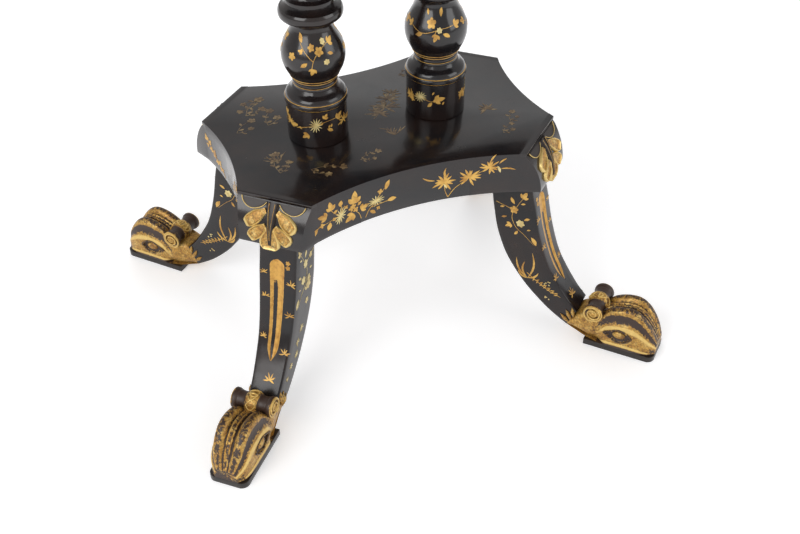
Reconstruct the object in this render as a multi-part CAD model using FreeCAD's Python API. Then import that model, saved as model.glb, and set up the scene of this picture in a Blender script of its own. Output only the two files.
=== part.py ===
import FreeCAD, Part
import math
import os

V = FreeCAD.Vector

# Tilt top table: a lacquered platform base on four sabre legs, two turned columns,
# and a rectangular top that tips up on two pins. Millimetres, +Z up, +X along the
# line of the columns, origin on the floor under the middle of the table.

# ---------------------------------------------------------------- overall sizes
table_height = 740.0
top_length = 860.0
top_width = 580.0
top_thickness = 20.0
top_corner_radius = 52.0
lipping_width = 14.0
lipping_round = 5.0

# ---------------------------------------------------------------- platform
platform_top = 272.0
platform_depth = 51.4
platform_length = 382.0          # across the two short sides
platform_width = 266.8           # across the two long sides
cant_along_length = 64.4         # how much each canted corner takes off the length
cant_along_width = 58.5          # and off the width
long_side_sweep = 23.5           # how far the long sides curve in
short_side_sweep = 10.0
board_thickness = 11.0
board_cant_margin = 7.0          # corner blocks come up to the surface by this much
rail_thickness = 24.0
spine_width = 92.0
spine_thickness = 24.0
glue_block_length = 34.0
glue_block_reach = 16.0
glue_block_height = 26.0
glue_block_place = 84.0          # from the middle along the long rails

# ---------------------------------------------------------------- corner blocks
block_depth = 54.0               # inward from the canted face
block_fillet_height = 4.5        # plain band along the top of the canted face
block_flare = 17.5               # how far the face swells out at the bottom
flare_belly = 0.72               # fullness of the swell half way down
block_flare_taper = 6.5          # each side draws in by this much at the swell
block_foot_band = 5.0            # plain band along the bottom of the swell
leaf_relief = 4.5                # thickness of the applied leaf
leaf_top_gap = 2.0
leaf_half_width = 34.0
leaf_drop = 7.0                  # how far the leaf hangs below the block
leaf_lobe_radius = 15.0

# ---------------------------------------------------------------- legs and feet
leg_width = 45.0
ankle_width = 35.0
ankle_taper_share = 0.62         # the leg keeps its full width above this share
tenon_thickness = 20.0           # across the leg
tenon_depth = 26.0               # outward along the leg
tenon_height = 25.0
tenon_setback = 12.0             # from the canted face
flute_width = 13.0
flute_depth = 2.5
flute_fall = 0.3                 # the cut drops by this share of its depth as the leg curves out
flute_waist = 0.8                # width share where the point begins
flute_point = 26.0               # length of the point
flute_top_gap = 28.0             # from the top of the leg
flute_length = 118.0
peg_radius = 3.5
peg_length = 44.0
peg_height = 12.0                # above the underside of the block
foot_reach = 172.5               # sole tip, outward from the canted edge
foot_width = 50.0
foot_corner_share = 0.45         # of the half width, cut off each front corner
foot_height = 67.0
ankle_out_height = 43.0          # where leg and foot meet, on the upper side
ankle_in_height = 17.0           # and on the lower side
scroll_radius = 13.0
scroll_centre = (92.0, 52.5)
scroll_length = 56.0
scroll_gap = 1.5                 # valley between the scroll and the lobes
lobe_depth = 36.0                # crown of the lobes back from the tip
lobe_fullness = 0.4
lobe_swell = 3.0
toe_tuck = 2.0
lobe_groove_width = 4.0
lobe_groove_depth = 7.0
sole_thickness = 8.0
sole_width = 47.4
sole_back = 84.0
sole_corner_radius = 9.0
foot_dowel_radius = 5.0
foot_dowel_length = 40.0
sole_screw_radius = 2.0
sole_screw_head_radius = 4.0
sole_screw_length = 26.0
sole_screw_sink = 1.0
sole_screw_places = (104.0, 150.0)

# Side outline of the leg: outward place, and share of the height above the ankle.
leg_outer_curve = (
    (0.5, 1.0), (4.5, 0.87), (9.0, 0.76), (14.5, 0.6025), (23.0, 0.4336), (31.5, 0.31),
    (42.0, 0.208), (51.0, 0.132), (59.5, 0.0676), (70.5, 0.0),
)
leg_inner_curve = (
    (-50.0, 1.0), (-47.0, 0.85), (-43.5, 0.732), (-38.0, 0.594), (-28.0, 0.452), (-15.0, 0.339),
    (1.0, 0.233), (18.0, 0.147), (36.0, 0.071), (58.0, 0.0),
)

# ---------------------------------------------------------------- columns
column_spacing = 145.8
column_tenon_radius = 15.0
column_wedge_thickness = 3.0
column_wedge_height = 18.0
wedge_width_share = 0.9          # of the tenon it splits
tenon_past_spine = 4.0
head_tenon_radius = 13.0
head_wedge_height = 20.0
# Lower turning: height above the platform, radius. It keeps its size.
column_foot_turning = (
    (0.0, 34.0), (2.0, 34.4), (43.0, 34.0), (47.0, 34.0), (48.5, 35.7), (52.5, 35.7),
    (56.5, 34.6), (59.5, 32.0), (62.5, 28.4), (66.5, 25.2), (69.0, 24.4), (72.0, 25.2),
    (75.5, 24.4), (78.5, 26.6), (82.0, 28.6), (86.6, 31.1), (94.9, 34.2), (103.0, 35.4),
    (111.0, 34.9), (119.7, 31.8), (127.2, 27.8), (135.2, 23.7), (141.0, 22.7),
    (145.0, 25.0), (148.0, 31.5), (152.0, 34.6), (156.6, 35.1), (160.0, 33.6),
    (163.0, 29.5), (165.0, 26.8), (169.0, 27.2), (172.0, 25.4), (175.0, 22.2),
)
# Shaft: share of the way between the two turnings, radius.
column_shaft_turning = ((0.08, 21.6), (0.3, 24.2), (0.55, 23.4), (0.8, 20.4), (0.94, 18.4))
# Upper turning: distance below the block, radius.
column_head_turning = (
    (66.0, 18.6), (62.0, 23.4), (58.0, 24.6), (54.0, 23.4), (51.0, 19.6), (46.0, 19.2),
    (38.0, 21.4), (30.0, 25.6), (24.0, 30.2), (21.0, 33.6), (16.0, 34.8), (11.0, 33.6),
    (9.0, 31.0), (6.0, 30.6), (0.0, 30.6),
)

# ---------------------------------------------------------------- tilt block and pins
head_block_length = 250.0
head_block_depth = 140.0
head_block_chamfer = 3.0
rest_gap = 0.3                   # between the top and the block, level or upright
pivot_drop = 19.0                # pin axis below the underside of the top
block_under_pivot = 17.0
pin_radius = 6.0
pin_running_gap = 0.05
pin_seat = 34.0                  # length of pin held in the block
pin_head_radius = 9.5
pin_head_thickness = 3.0
pin_head_gap = 0.3

# ---------------------------------------------------------------- bearers
bearer_gap = 0.5
bearer_width = 24.0
bearer_height = 34.0
bearer_length = 440.0
bearer_end_rise = 18.0           # the ends are sloped up by this much
bearer_end_slope = 60.0
bearer_screw_places = (-175.0, 20.0, 175.0)
bearer_screw_radius = 2.5
bearer_screw_head_radius = 5.0
bearer_screw_grip = 12.0         # length held in the top
bearer_screw_sink = 1.0

# ---------------------------------------------------------------- sliding bolt
bolt_drop = 9.0                  # bolt axis below the underside of the top
bolt_radius = 4.0
bolt_running_gap = 0.06
bolt_length = 62.0
bolt_nose_gap = 3.0              # bolt drawn back: nose to keeper plate
bolt_plate_thickness = 2.0
bolt_plate_width = 30.0
bolt_plate_end = 8.0             # plate runs on past each guide
guide_length = 6.0
guide_width = 14.0
guide_wall = 3.0
guide_setback = 8.0              # bolt nose to first guide
guide_spacing = 42.0
knob_place = 31.0                # from the bolt's nose
knob_stem_radius = 2.6
knob_stem_length = 9.0
knob_radius = 7.0
plate_screw_radius = 1.6
plate_screw_head_radius = 3.2
plate_screw_length = 12.0
plate_screw_sink = 0.2
keeper_thickness = 2.0
keeper_width = 34.0
keeper_height = 18.0
keeper_clearance = 0.6
keeper_hole_depth = 14.0
keeper_screw_place = 12.0        # each side of the keeper's hole
keeper_screw_length = 14.0

# ---------------------------------------------------------------- worked out
half_length = platform_length / 2
half_width = platform_width / 2
cant_x = half_length - cant_along_length
cant_y = half_width - cant_along_width
cant_edge = math.hypot(cant_along_length, cant_along_width)
cant_facing = math.degrees(math.atan2(cant_along_length, cant_along_width))
cant_mid = V((half_length + cant_x) / 2, (half_width + cant_y) / 2, 0)
leg_height = platform_top - platform_depth
board_underside = platform_top - board_thickness
spine_underside = board_underside - spine_thickness
top_underside = table_height - top_thickness
pivot_z = top_underside - pivot_drop
block_top = top_underside - rest_gap
block_underside = pivot_z - block_under_pivot
block_front = -head_block_depth / 2
block_back = head_block_depth / 2
pivot_y = block_front + pivot_drop - rest_gap
bearer_inner = head_block_length / 2 + bearer_gap
bolt_z = top_underside - bolt_drop
bolt_nose = block_back + bolt_nose_gap
ankle_out = (leg_outer_curve[-1][0], ankle_out_height)
ankle_in = (leg_inner_curve[-1][0], ankle_in_height)
far = 2000.0                     # longer than anything cut with it


def box(x0, x1, y0, y1, z0, z1):
    return Part.makeBox(x1 - x0, y1 - y0, z1 - z0, V(x0, y0, z0))


def cylinder(radius, length, start, direction):
    return Part.makeCylinder(radius, length, start, direction)


def prism(wire, z0, z1):
    face = Part.Face(wire)
    face.translate(V(0, 0, z0))
    return face.extrude(V(0, 0, z1 - z0))


def arc(a, b, c):
    return Part.Arc(a, b, c).toShape()


def line(a, b):
    return Part.LineSegment(a, b).toShape()


def polygon(points):
    return Part.makePolygon(list(points) + [points[0]])


def spline(points):
    curve = Part.BSplineCurve()
    curve.interpolate(points)
    return curve.toShape()


def mirrored(shape, flip_x, flip_y):
    if flip_x:
        shape = shape.mirror(V(0, 0, 0), V(1, 0, 0))
    if flip_y:
        shape = shape.mirror(V(0, 0, 0), V(0, 1, 0))
    return shape


def to_corner(shape):
    """Moves a shape from corner axes (X outward, Y across the face) to the +X +Y corner."""
    placed = shape.copy()
    placed.Placement = FreeCAD.Placement(cant_mid, FreeCAD.Rotation(V(0, 0, 1), cant_facing))
    return placed


corners = {
    "front_left": (True, True),
    "front_right": (False, True),
    "back_left": (True, False),
    "back_right": (False, False),
}


def at_corner(shape, name):
    return mirrored(to_corner(shape), *corners[name])


def screw(head_radius, shank_radius, length, place, direction):
    """A countersunk screw: its flat head starts at place and its shank runs along direction."""
    head_height = head_radius - shank_radius
    head = Part.makeCone(head_radius, shank_radius, head_height, place, direction)
    shank_start = place + direction * head_height
    shank = cylinder(shank_radius, length - head_height, shank_start, direction)
    return head.fuse(shank).removeSplitter()


def screw_hole(head_radius, shank_radius, length, place, direction, sink):
    """The hole that a screw fills, with the sunk mouth above its head."""
    mouth = cylinder(head_radius, sink, place - direction * sink, direction)
    return screw(head_radius, shank_radius, length, place, direction).fuse(mouth)


# ---------------------------------------------------------------- platform shapes
def platform_outline():
    edges = []
    for sx, sy in ((1, -1), (1, 1), (-1, 1), (-1, -1)):
        side_end = V(sx * half_length, sy * cant_y, 0)
        long_end = V(sx * cant_x, sy * half_width, 0)
        if sx * sy < 0:
            edges.append(line(long_end, side_end))
            middle = V(sx * (half_length - short_side_sweep), 0, 0)
            edges.append(arc(side_end, middle, V(sx * half_length, -sy * cant_y, 0)))
        else:
            edges.append(line(side_end, long_end))
            middle = V(0, sy * (half_width - long_side_sweep), 0)
            edges.append(arc(long_end, middle, V(-sx * cant_x, sy * half_width, 0)))
    return Part.Wire(Part.__sortEdges__(edges))


outline = platform_outline()
inner_outline = outline.makeOffset2D(-rail_thickness, 2)
inner_prism = prism(inner_outline, 0, far)


def beyond_cant(distance):
    """Everything outside a plane that lies inward of each canted edge by distance."""
    slab = box(-distance, far / 4, -far / 4, far / 4, 0, far)
    corner = to_corner(slab)
    return [mirrored(corner, *flips) for flips in corners.values()]


def make_platform_board():
    board = prism(outline, board_underside, platform_top)
    board = board.cut(beyond_cant(board_cant_margin))
    for x in (-column_spacing / 2, column_spacing / 2):
        board = board.cut(cylinder(column_tenon_radius, far, V(x, 0, 0), V(0, 0, 1)))
    return board


def make_rails():
    ring = prism(outline, leg_height, board_underside).cut(inner_prism)
    ring = ring.cut(beyond_cant(block_depth))
    rails = {}
    for solid in ring.Solids:
        centre = solid.CenterOfMass
        if abs(centre.x) > abs(centre.y):
            name = "rail_right" if centre.x > 0 else "rail_left"
        else:
            name = "rail_back" if centre.y > 0 else "rail_front"
        rails[name] = solid
    return rails


def make_spine_board():
    half = spine_width / 2
    board = box(-half_length, half_length, -half, half, spine_underside, board_underside)
    board = board.common(inner_prism).cut(beyond_cant(block_depth))
    for x in (-column_spacing / 2, column_spacing / 2):
        board = board.cut(cylinder(column_tenon_radius, far, V(x, 0, 0), V(0, 0, 1)))
    return board


def make_glue_blocks():
    blocks = []
    half = glue_block_length / 2
    inner_edge = half_width - long_side_sweep - rail_thickness - glue_block_reach
    low = board_underside - glue_block_height
    for sx in (-1, 1):
        x = sx * glue_block_place
        block = box(x - half, x + half, inner_edge, half_width, low, board_underside)
        block = block.common(inner_prism).cut(beyond_cant(block_depth))
        blocks += [block, mirrored(block, False, True)]
    return Part.makeCompound(blocks)


# ---------------------------------------------------------------- corner blocks
def flare_curve(offset):
    """The swelling face of a corner block, seen from the side, moved outward by offset."""
    top = leg_height + platform_depth - block_fillet_height
    low = leg_height + block_foot_band
    middle = V(offset + block_flare * flare_belly, 0, (top + low) / 2)
    return V(offset, 0, top), middle, V(offset + block_flare, 0, low)


def make_corner_block():
    depth = box(-block_depth, 0, -far / 4, far / 4, leg_height, platform_top)
    full = prism(outline, leg_height, platform_top)
    placed = full.common(to_corner(depth))
    margin = box(-block_depth, -board_cant_margin, -far / 4, far / 4, board_underside, platform_top)
    placed = placed.cut(to_corner(margin))
    upper, middle, lower = flare_curve(0)
    foot = V(block_flare, 0, leg_height)
    root = V(-1, 0, leg_height)
    root_top = V(-1, 0, upper.z)
    edges = [arc(upper, middle, lower), line(lower, foot), line(foot, root)]
    edges += [line(root, root_top), line(root_top, upper)]
    swell = Part.Face(Part.Wire(edges))
    swell.translate(V(0, -cant_edge / 2, 0))
    swell = swell.extrude(V(0, cant_edge, 0))
    half = cant_edge / 2
    drawn_in = half - block_flare_taper
    plan = polygon([V(-1, -half, 0), V(0, -half, 0), V(block_flare, -drawn_in, 0),
                    V(block_flare, drawn_in, 0), V(0, half, 0), V(-1, half, 0)])
    swell = swell.common(prism(plan, 0, far))
    block = placed.fuse(to_corner(swell)).removeSplitter()
    block = block.cut(to_corner(leg_tenon()))
    return block.cut(to_corner(leg_peg()))


def leaf_lobes():
    """Outline of the applied leaf on its face: one hanging lobe, four side lobes and a stem."""
    top = platform_top - block_fillet_height - leaf_top_gap
    low = leg_height - leaf_drop
    height = top - low
    radius = leaf_lobe_radius
    discs = [(0, low + radius, radius)]
    for side in (-1, 1):
        discs.append((side * (leaf_half_width - radius * 0.8), low + height * 0.62, radius * 0.8))
        discs.append((side * (leaf_half_width - radius * 1.15), low + height * 0.4, radius * 0.75))
    shape = box(-1, far / 4, -radius * 0.6, radius * 0.6, low + radius, top)
    for y, z, r in discs:
        shape = shape.fuse(cylinder(r, far / 4, V(-1, y, z), V(1, 0, 0)))
    brow = box(-1, far / 4, -leaf_half_width, leaf_half_width, top - radius * 0.8, top)
    return shape.fuse(brow).removeSplitter()


def make_leaf():
    upper, middle, lower = flare_curve(0)
    upper_out, middle_out, lower_out = flare_curve(leaf_relief)
    hang = V(block_flare, 0, leg_height)
    hang_out = V(block_flare + leaf_relief, 0, leg_height)
    tip = V(leg_top_outward() + block_flare * 0.45, 0, leg_height - leaf_drop)
    back = V(leg_top_outward() + 2, 0, leg_height)
    edges = [arc(upper, middle, lower), line(lower, hang), line(hang, back), line(back, tip)]
    edges += [line(tip, hang_out), line(hang_out, lower_out)]
    edges += [arc(lower_out, middle_out, upper_out), line(upper_out, upper)]
    skin = Part.Face(Part.Wire(edges))
    skin.translate(V(0, -cant_edge / 2, 0))
    skin = skin.extrude(V(0, cant_edge, 0))
    return skin.common(leaf_lobes())


# ---------------------------------------------------------------- legs and feet
def leg_points(curve, ankle_height):
    rise = leg_height - ankle_height
    return [V(s, 0, ankle_height + share * rise) for s, share in curve]


def leg_side_edges():
    outer = leg_points(leg_outer_curve, ankle_out_height)
    inner = leg_points(leg_inner_curve, ankle_in_height)
    return [spline(outer), line(outer[-1], inner[-1]), spline(inner[::-1]), line(inner[0], outer[0])]


def leg_top_outward():
    return leg_outer_curve[0][0]


def leg_tenon():
    outer = -tenon_setback
    half = tenon_thickness / 2
    return box(outer - tenon_depth, outer, -half, half, leg_height, leg_height + tenon_height)


def leg_peg():
    start = V(-block_depth, 0, leg_height + peg_height)
    return cylinder(peg_radius, peg_length, start, V(1, 0, 0))


def foot_dowel():
    middle = V((ankle_out[0] + ankle_in[0]) / 2, 0, (ankle_out[1] + ankle_in[1]) / 2)
    along = V(ankle_out[1] - ankle_in[1], 0, ankle_in[0] - ankle_out[0])
    along.normalize()
    start = middle - along * (foot_dowel_length / 2)
    return cylinder(foot_dowel_radius, foot_dowel_length, start, along)


def side_extrusion(edges, width):
    face = Part.Face(Part.Wire(edges))
    face.translate(V(0, -width / 2, 0))
    return face.extrude(V(0, width, 0))


def leg_front_taper():
    """Front outline of the leg, full width above, narrower at the ankle."""
    full = leg_width / 2
    slim = ankle_width / 2
    turn = ankle_out[1] + (leg_height - ankle_out[1]) * ankle_taper_share
    points = [V(-far / 4, -slim, 0), V(-far / 4, slim, 0), V(-far / 4, slim, ankle_in[1]),
              V(-far / 4, full, turn), V(-far / 4, full, leg_height), V(-far / 4, -full, leg_height),
              V(-far / 4, -full, turn), V(-far / 4, -slim, ankle_in[1])]
    return Part.Face(polygon(points)).extrude(V(far / 2, 0, 0))


def make_flute():
    """A shallow pointed groove that follows the outer face of the leg."""
    outer = leg_points(leg_outer_curve, ankle_out_height)
    sunk = [p - V(flute_depth, 0, flute_depth * flute_fall) for p in outer]
    proud = [p + V(leg_width, 0, 0) for p in outer]
    edges = [spline(sunk), line(sunk[-1], proud[-1]), spline(proud[::-1]), line(proud[0], sunk[0])]
    shell = side_extrusion(edges, leg_width)
    half = flute_width / 2
    high = leg_height - flute_top_gap
    low = high - flute_length
    back = -far / 4
    left_top, top, right_top = V(back, -half, high - half), V(back, 0, high), V(back, half, high - half)
    left_waist = V(back, -half * flute_waist, low + flute_point)
    right_waist = V(back, half * flute_waist, low + flute_point)
    tip = V(back, 0, low)
    side_edges = [arc(left_top, top, right_top), line(right_top, right_waist), line(right_waist, tip)]
    side_edges += [line(tip, left_waist), line(left_waist, left_top)]
    front = Part.Face(Part.Wire(side_edges)).extrude(V(far / 2, 0, 0))
    return shell.common(front)


def make_leg():
    leg = side_extrusion(leg_side_edges(), leg_width).common(leg_front_taper())
    leg = leg.cut(make_flute())
    leg = leg.fuse(leg_tenon()).removeSplitter()
    return leg.cut(leg_peg()).cut(foot_dowel())


def foot_side_edges():
    """Side outline of the carved foot, from the ankle over the scroll and lobes to the sole."""
    heel = V(sole_back, 0, sole_thickness)
    toe = V(foot_reach - toe_tuck, 0, sole_thickness)
    nose = V(foot_reach, 0, foot_height / 2)
    shin = V(foot_reach, 0, (sole_thickness + nose.z) / 2)
    crown = V(foot_reach - lobe_depth, 0, foot_height)
    brow = V(foot_reach - lobe_depth * lobe_fullness, 0, foot_height * (1 - lobe_fullness / 2))
    dip = V(scroll_centre[0] + scroll_radius + scroll_gap, 0, scroll_centre[1] - scroll_gap)
    cheek = (dip + crown) / 2 + V(-lobe_swell, 0, lobe_swell)
    roll = V(scroll_centre[0], 0, scroll_centre[1])
    up = V(ankle_out[0], 0, ankle_out[1])
    down = V(ankle_in[0], 0, ankle_in[1])
    edges = [line(down, heel), line(heel, toe), arc(toe, shin, nose), arc(nose, brow, crown)]
    edges += [arc(crown, cheek, dip), line(dip, roll), line(roll, up), line(up, down)]
    return edges


def foot_plan():
    half = foot_width / 2
    slim = ankle_width / 2
    round_off = half * foot_corner_share
    points = [V(ankle_in[0] - 1, -slim, 0), V(sole_back, -slim, 0)]
    points.append(V(scroll_centre[0] + scroll_radius, -half, 0))
    points += [V(foot_reach - round_off, -half, 0), V(foot_reach, -half + round_off, 0)]
    points += [V(p.x, -p.y, 0) for p in reversed(points)]
    return prism(polygon(points), 0, far)


def sole_outline():
    half = sole_width / 2
    tip = foot_reach
    r = sole_corner_radius
    lean = r * (1 - math.sqrt(0.5))
    edges = [line(V(sole_back, -half, 0), V(tip - r, -half, 0)),
             arc(V(tip - r, -half, 0), V(tip - lean, -half + lean, 0), V(tip, -half + r, 0)),
             line(V(tip, -half + r, 0), V(tip, half - r, 0)),
             arc(V(tip, half - r, 0), V(tip - lean, half - lean, 0), V(tip - r, half, 0)),
             line(V(tip - r, half, 0), V(sole_back, half, 0)),
             line(V(sole_back, half, 0), V(sole_back, -half, 0))]
    return Part.Wire(edges)


def sole_screw_args(place):
    start = V(place, 0, sole_screw_sink)
    return sole_screw_head_radius, sole_screw_radius, sole_screw_length, start, V(0, 0, 1)


def make_foot():
    foot = side_extrusion(foot_side_edges(), foot_width).common(foot_plan())
    axis_start = V(scroll_centre[0], -scroll_length / 2, scroll_centre[1])
    scroll = cylinder(scroll_radius, scroll_length, axis_start, V(0, 1, 0))
    groove_half = lobe_groove_width / 2
    groove_back = scroll_centre[0] + scroll_radius
    groove = box(groove_back, far, -groove_half, groove_half, foot_height - lobe_groove_depth, far)
    foot = foot.fuse(scroll).cut(groove).removeSplitter()
    foot = foot.cut(side_extrusion(leg_side_edges(), leg_width * 2)).cut(foot_dowel())
    for place in sole_screw_places:
        foot = foot.cut(screw(*sole_screw_args(place)))
    return max(foot.Solids, key=lambda solid: solid.Volume)


def make_sole():
    sole = prism(sole_outline(), 0, sole_thickness)
    for place in sole_screw_places:
        sole = sole.cut(screw_hole(*sole_screw_args(place), sole_screw_sink))
    return sole


# ---------------------------------------------------------------- columns
def column_profile():
    span_low = platform_top + column_foot_turning[-1][0]
    span_high = block_underside - column_head_turning[0][0]
    points = [(r, platform_top + h) for h, r in column_foot_turning]
    points += [(r, span_low + share * (span_high - span_low)) for share, r in column_shaft_turning]
    points += [(r, block_underside - drop) for drop, r in column_head_turning]
    return points


def make_column(x):
    points = [V(0, 0, platform_top)] + [V(r, 0, z) for r, z in column_profile()]
    points.append(V(0, 0, block_underside))
    turned = Part.Face(polygon(points)).revolve(V(0, 0, 0), V(0, 0, 1), 360)
    foot_start = spine_underside - tenon_past_spine
    foot_tenon = cylinder(column_tenon_radius, platform_top - foot_start, V(0, 0, foot_start), V(0, 0, 1))
    head_start = V(0, 0, block_underside)
    head_tenon = cylinder(head_tenon_radius, block_top - block_underside, head_start, V(0, 0, 1))
    column = turned.fuse([foot_tenon, head_tenon]).removeSplitter()
    for wedge in column_wedges():
        column = column.cut(wedge)
    column.translate(V(x, 0, 0))
    return column


def column_wedges():
    half = column_wedge_thickness / 2
    foot_start = spine_underside - tenon_past_spine
    foot_half = column_tenon_radius * wedge_width_share
    head_half = head_tenon_radius * wedge_width_share
    foot = box(-half, half, -foot_half, foot_half, foot_start, foot_start + column_wedge_height)
    head = box(-half, half, -head_half, head_half, block_top - head_wedge_height, block_top)
    return [foot, head]


def make_wedges():
    wedges = []
    for x in (-column_spacing / 2, column_spacing / 2):
        for wedge in column_wedges():
            moved = wedge.copy()
            moved.translate(V(x, 0, 0))
            wedges.append(moved)
    return Part.makeCompound(wedges)


# ---------------------------------------------------------------- tilt block
def make_head_block():
    half = head_block_length / 2
    radius = pivot_drop - rest_gap
    block = box(-half, half, block_front, block_back, block_underside, block_top)
    nose = box(-half, half, block_front, pivot_y, pivot_z, block_top)
    round_nose = cylinder(radius, 2 * half, V(-half, pivot_y, pivot_z), V(1, 0, 0))
    block = block.cut(nose.cut(round_nose))
    lower_edges = [e for e in block.Edges if is_level(e, block_underside)]
    block = block.makeChamfer(head_block_chamfer, lower_edges)
    for x in (-column_spacing / 2, column_spacing / 2):
        block = block.cut(cylinder(head_tenon_radius, far, V(x, 0, 0), V(0, 0, 1)))
    for side in (-1, 1):
        block = block.cut(pin_shaft(side))
    mouth = V(0, block_back + 1, bolt_z)
    block = block.cut(cylinder(bolt_radius + keeper_clearance, keeper_hole_depth + 1, mouth, V(0, -1, 0)))
    block = block.cut(keeper_seat())
    for x in (-keeper_screw_place, keeper_screw_place):
        block = block.cut(screw(*keeper_screw_args(x)))
    return block


def is_level(edge, height):
    box_of = edge.BoundBox
    return abs(box_of.ZMin - height) < 0.01 and abs(box_of.ZMax - height) < 0.01


def keeper_seat():
    half = keeper_width / 2
    half_high = keeper_height / 2
    low = max(bolt_z - half_high, block_underside)
    high = min(bolt_z + half_high, block_top)
    return box(-half, half, block_back - keeper_thickness, block_back, low, high)


def keeper_screw_args(x):
    start = V(x, block_back - plate_screw_sink, bolt_z)
    return plate_screw_head_radius, plate_screw_radius, keeper_screw_length, start, V(0, -1, 0)


def make_keeper():
    plate = keeper_seat()
    mouth = V(0, block_back + 1, bolt_z)
    plate = plate.cut(cylinder(bolt_radius + keeper_clearance, keeper_hole_depth, mouth, V(0, -1, 0)))
    for x in (-keeper_screw_place, keeper_screw_place):
        plate = plate.cut(screw_hole(*keeper_screw_args(x), plate_screw_sink))
    return plate


def pin_shaft(side):
    start = side * (head_block_length / 2 - pin_seat)
    length = pin_seat + bearer_gap + bearer_width + pin_head_gap
    return cylinder(pin_radius, length, V(start, pivot_y, pivot_z), V(side, 0, 0))


def make_pin(side):
    head_start = side * (bearer_inner + bearer_width + pin_head_gap)
    head = cylinder(pin_head_radius, pin_head_thickness, V(head_start, pivot_y, pivot_z), V(side, 0, 0))
    return pin_shaft(side).fuse(head).removeSplitter()


# ---------------------------------------------------------------- top and bearers
def rounded_slab(inset):
    x = top_length / 2 - inset
    y = top_width / 2 - inset
    r = top_corner_radius - inset
    slab = box(-x, x, -y, y, top_underside, table_height)
    uprights = [e for e in slab.Edges if e.BoundBox.ZLength > top_thickness / 2]
    return slab.makeFillet(r, uprights)


def make_top_panel():
    panel = rounded_slab(lipping_width)
    for args in bearer_screw_args():
        panel = panel.cut(screw(*args))
    for args in plate_screw_args():
        panel = panel.cut(screw(*args))
    return panel


def make_lippings():
    slab = rounded_slab(0)
    rims = [e for e in slab.Edges if is_level(e, table_height) or is_level(e, top_underside)]
    ring = slab.makeFillet(lipping_round, rims).cut(rounded_slab(lipping_width))
    x = top_length / 2
    y = top_width / 2
    reach = far / 2
    lippings = {}
    for name, side in (("right", 1), ("left", -1)):
        start = V(side * (x - y), 0, 0)
        corner_a = V(side * (x - y + reach), reach, 0)
        corner_b = V(side * (x - y + reach), -reach, 0)
        wedge = prism(polygon([start, corner_a, corner_b]), 0, far)
        lippings["lipping_" + name] = ring.common(wedge)
    rest = ring.cut(list(lippings.values()))
    for solid in rest.Solids:
        name = "lipping_back" if solid.CenterOfMass.y > 0 else "lipping_front"
        lippings[name] = solid
    return lippings


def make_bearer(side):
    half = bearer_length / 2
    low = top_underside - bearer_height
    points = [V(0, -half, top_underside), V(0, -half, low + bearer_end_rise)]
    points += [V(0, -half + bearer_end_slope, low), V(0, half - bearer_end_slope, low)]
    points += [V(0, half, low + bearer_end_rise), V(0, half, top_underside)]
    bearer = Part.Face(polygon(points)).extrude(V(bearer_width, 0, 0))
    start = bearer_inner if side > 0 else -bearer_inner - bearer_width
    bearer.translate(V(start, 0, 0))
    hole_start = V(start - 1, pivot_y, pivot_z)
    bearer = bearer.cut(cylinder(pin_radius + pin_running_gap, bearer_width + 2, hole_start, V(1, 0, 0)))
    for args in bearer_screw_args():
        bearer = bearer.cut(screw_hole(*args, bearer_height))
    return bearer


def bearer_low(y):
    """Height of the bearer's lower edge at y."""
    low = top_underside - bearer_height
    past = abs(y) - (bearer_length / 2 - bearer_end_slope)
    return low + max(0.0, past) * bearer_end_rise / bearer_end_slope


def bearer_screw_args():
    middle = bearer_inner + bearer_width / 2
    args = []
    for x in (-middle, middle):
        for y in bearer_screw_places:
            start = max(bearer_low(y), bearer_low(y + bearer_screw_head_radius)) + bearer_screw_sink
            length = top_underside + bearer_screw_grip - start
            place = V(x, y, start)
            args.append((bearer_screw_head_radius, bearer_screw_radius, length, place, V(0, 0, 1)))
    return args


# ---------------------------------------------------------------- sliding bolt
def guide_starts():
    first = bolt_nose + guide_setback
    return (first, first + guide_spacing)


def bolt_plate_span():
    first, last = guide_starts()
    return first - bolt_plate_end, last + guide_length + bolt_plate_end


def make_bolt_plate():
    low, high = bolt_plate_span()
    half = bolt_plate_width / 2
    plate_low = top_underside - bolt_plate_thickness
    plate = box(-half, half, low, high, plate_low, top_underside)
    guide_half = guide_width / 2
    for start in guide_starts():
        foot = bolt_z - bolt_radius - guide_wall
        plate = plate.fuse(box(-guide_half, guide_half, start, start + guide_length, foot, plate_low))
    plate = plate.removeSplitter()
    bore = cylinder(bolt_radius + bolt_running_gap, far / 4, V(0, low - 1, bolt_z), V(0, 1, 0))
    plate = plate.cut(bore)
    for args in plate_screw_args():
        plate = plate.cut(screw_hole(*args, plate_screw_sink))
    return plate


def plate_screw_args():
    low, high = bolt_plate_span()
    x = bolt_plate_width / 2 - plate_screw_head_radius - 1
    start = top_underside - bolt_plate_thickness + plate_screw_sink
    args = []
    for side in (-x, x):
        for y in (low + bolt_plate_end / 2, high - bolt_plate_end / 2):
            place = V(side, y, start)
            args.append((plate_screw_head_radius, plate_screw_radius, plate_screw_length, place, V(0, 0, 1)))
    return args


def knob_stem():
    start = V(0, bolt_nose + knob_place, bolt_z)
    return cylinder(knob_stem_radius, bolt_radius + knob_stem_length, start, V(0, 0, -1))


def make_bolt():
    rod = cylinder(bolt_radius, bolt_length, V(0, bolt_nose, bolt_z), V(0, 1, 0))
    tip = [e for e in rod.Edges if e.BoundBox.YLength < 0.01 and abs(e.BoundBox.YMin - bolt_nose) < 0.01]
    rod = rod.makeChamfer(bolt_radius / 3, tip)
    return rod.cut(knob_stem())


def make_knob():
    y = bolt_nose + knob_place
    middle = V(0, y, bolt_z - bolt_radius - knob_stem_length)
    return knob_stem().fuse(Part.makeSphere(knob_radius, middle)).removeSplitter()


def screw_group(all_args):
    return Part.makeCompound([screw(*args) for args in all_args])


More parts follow.
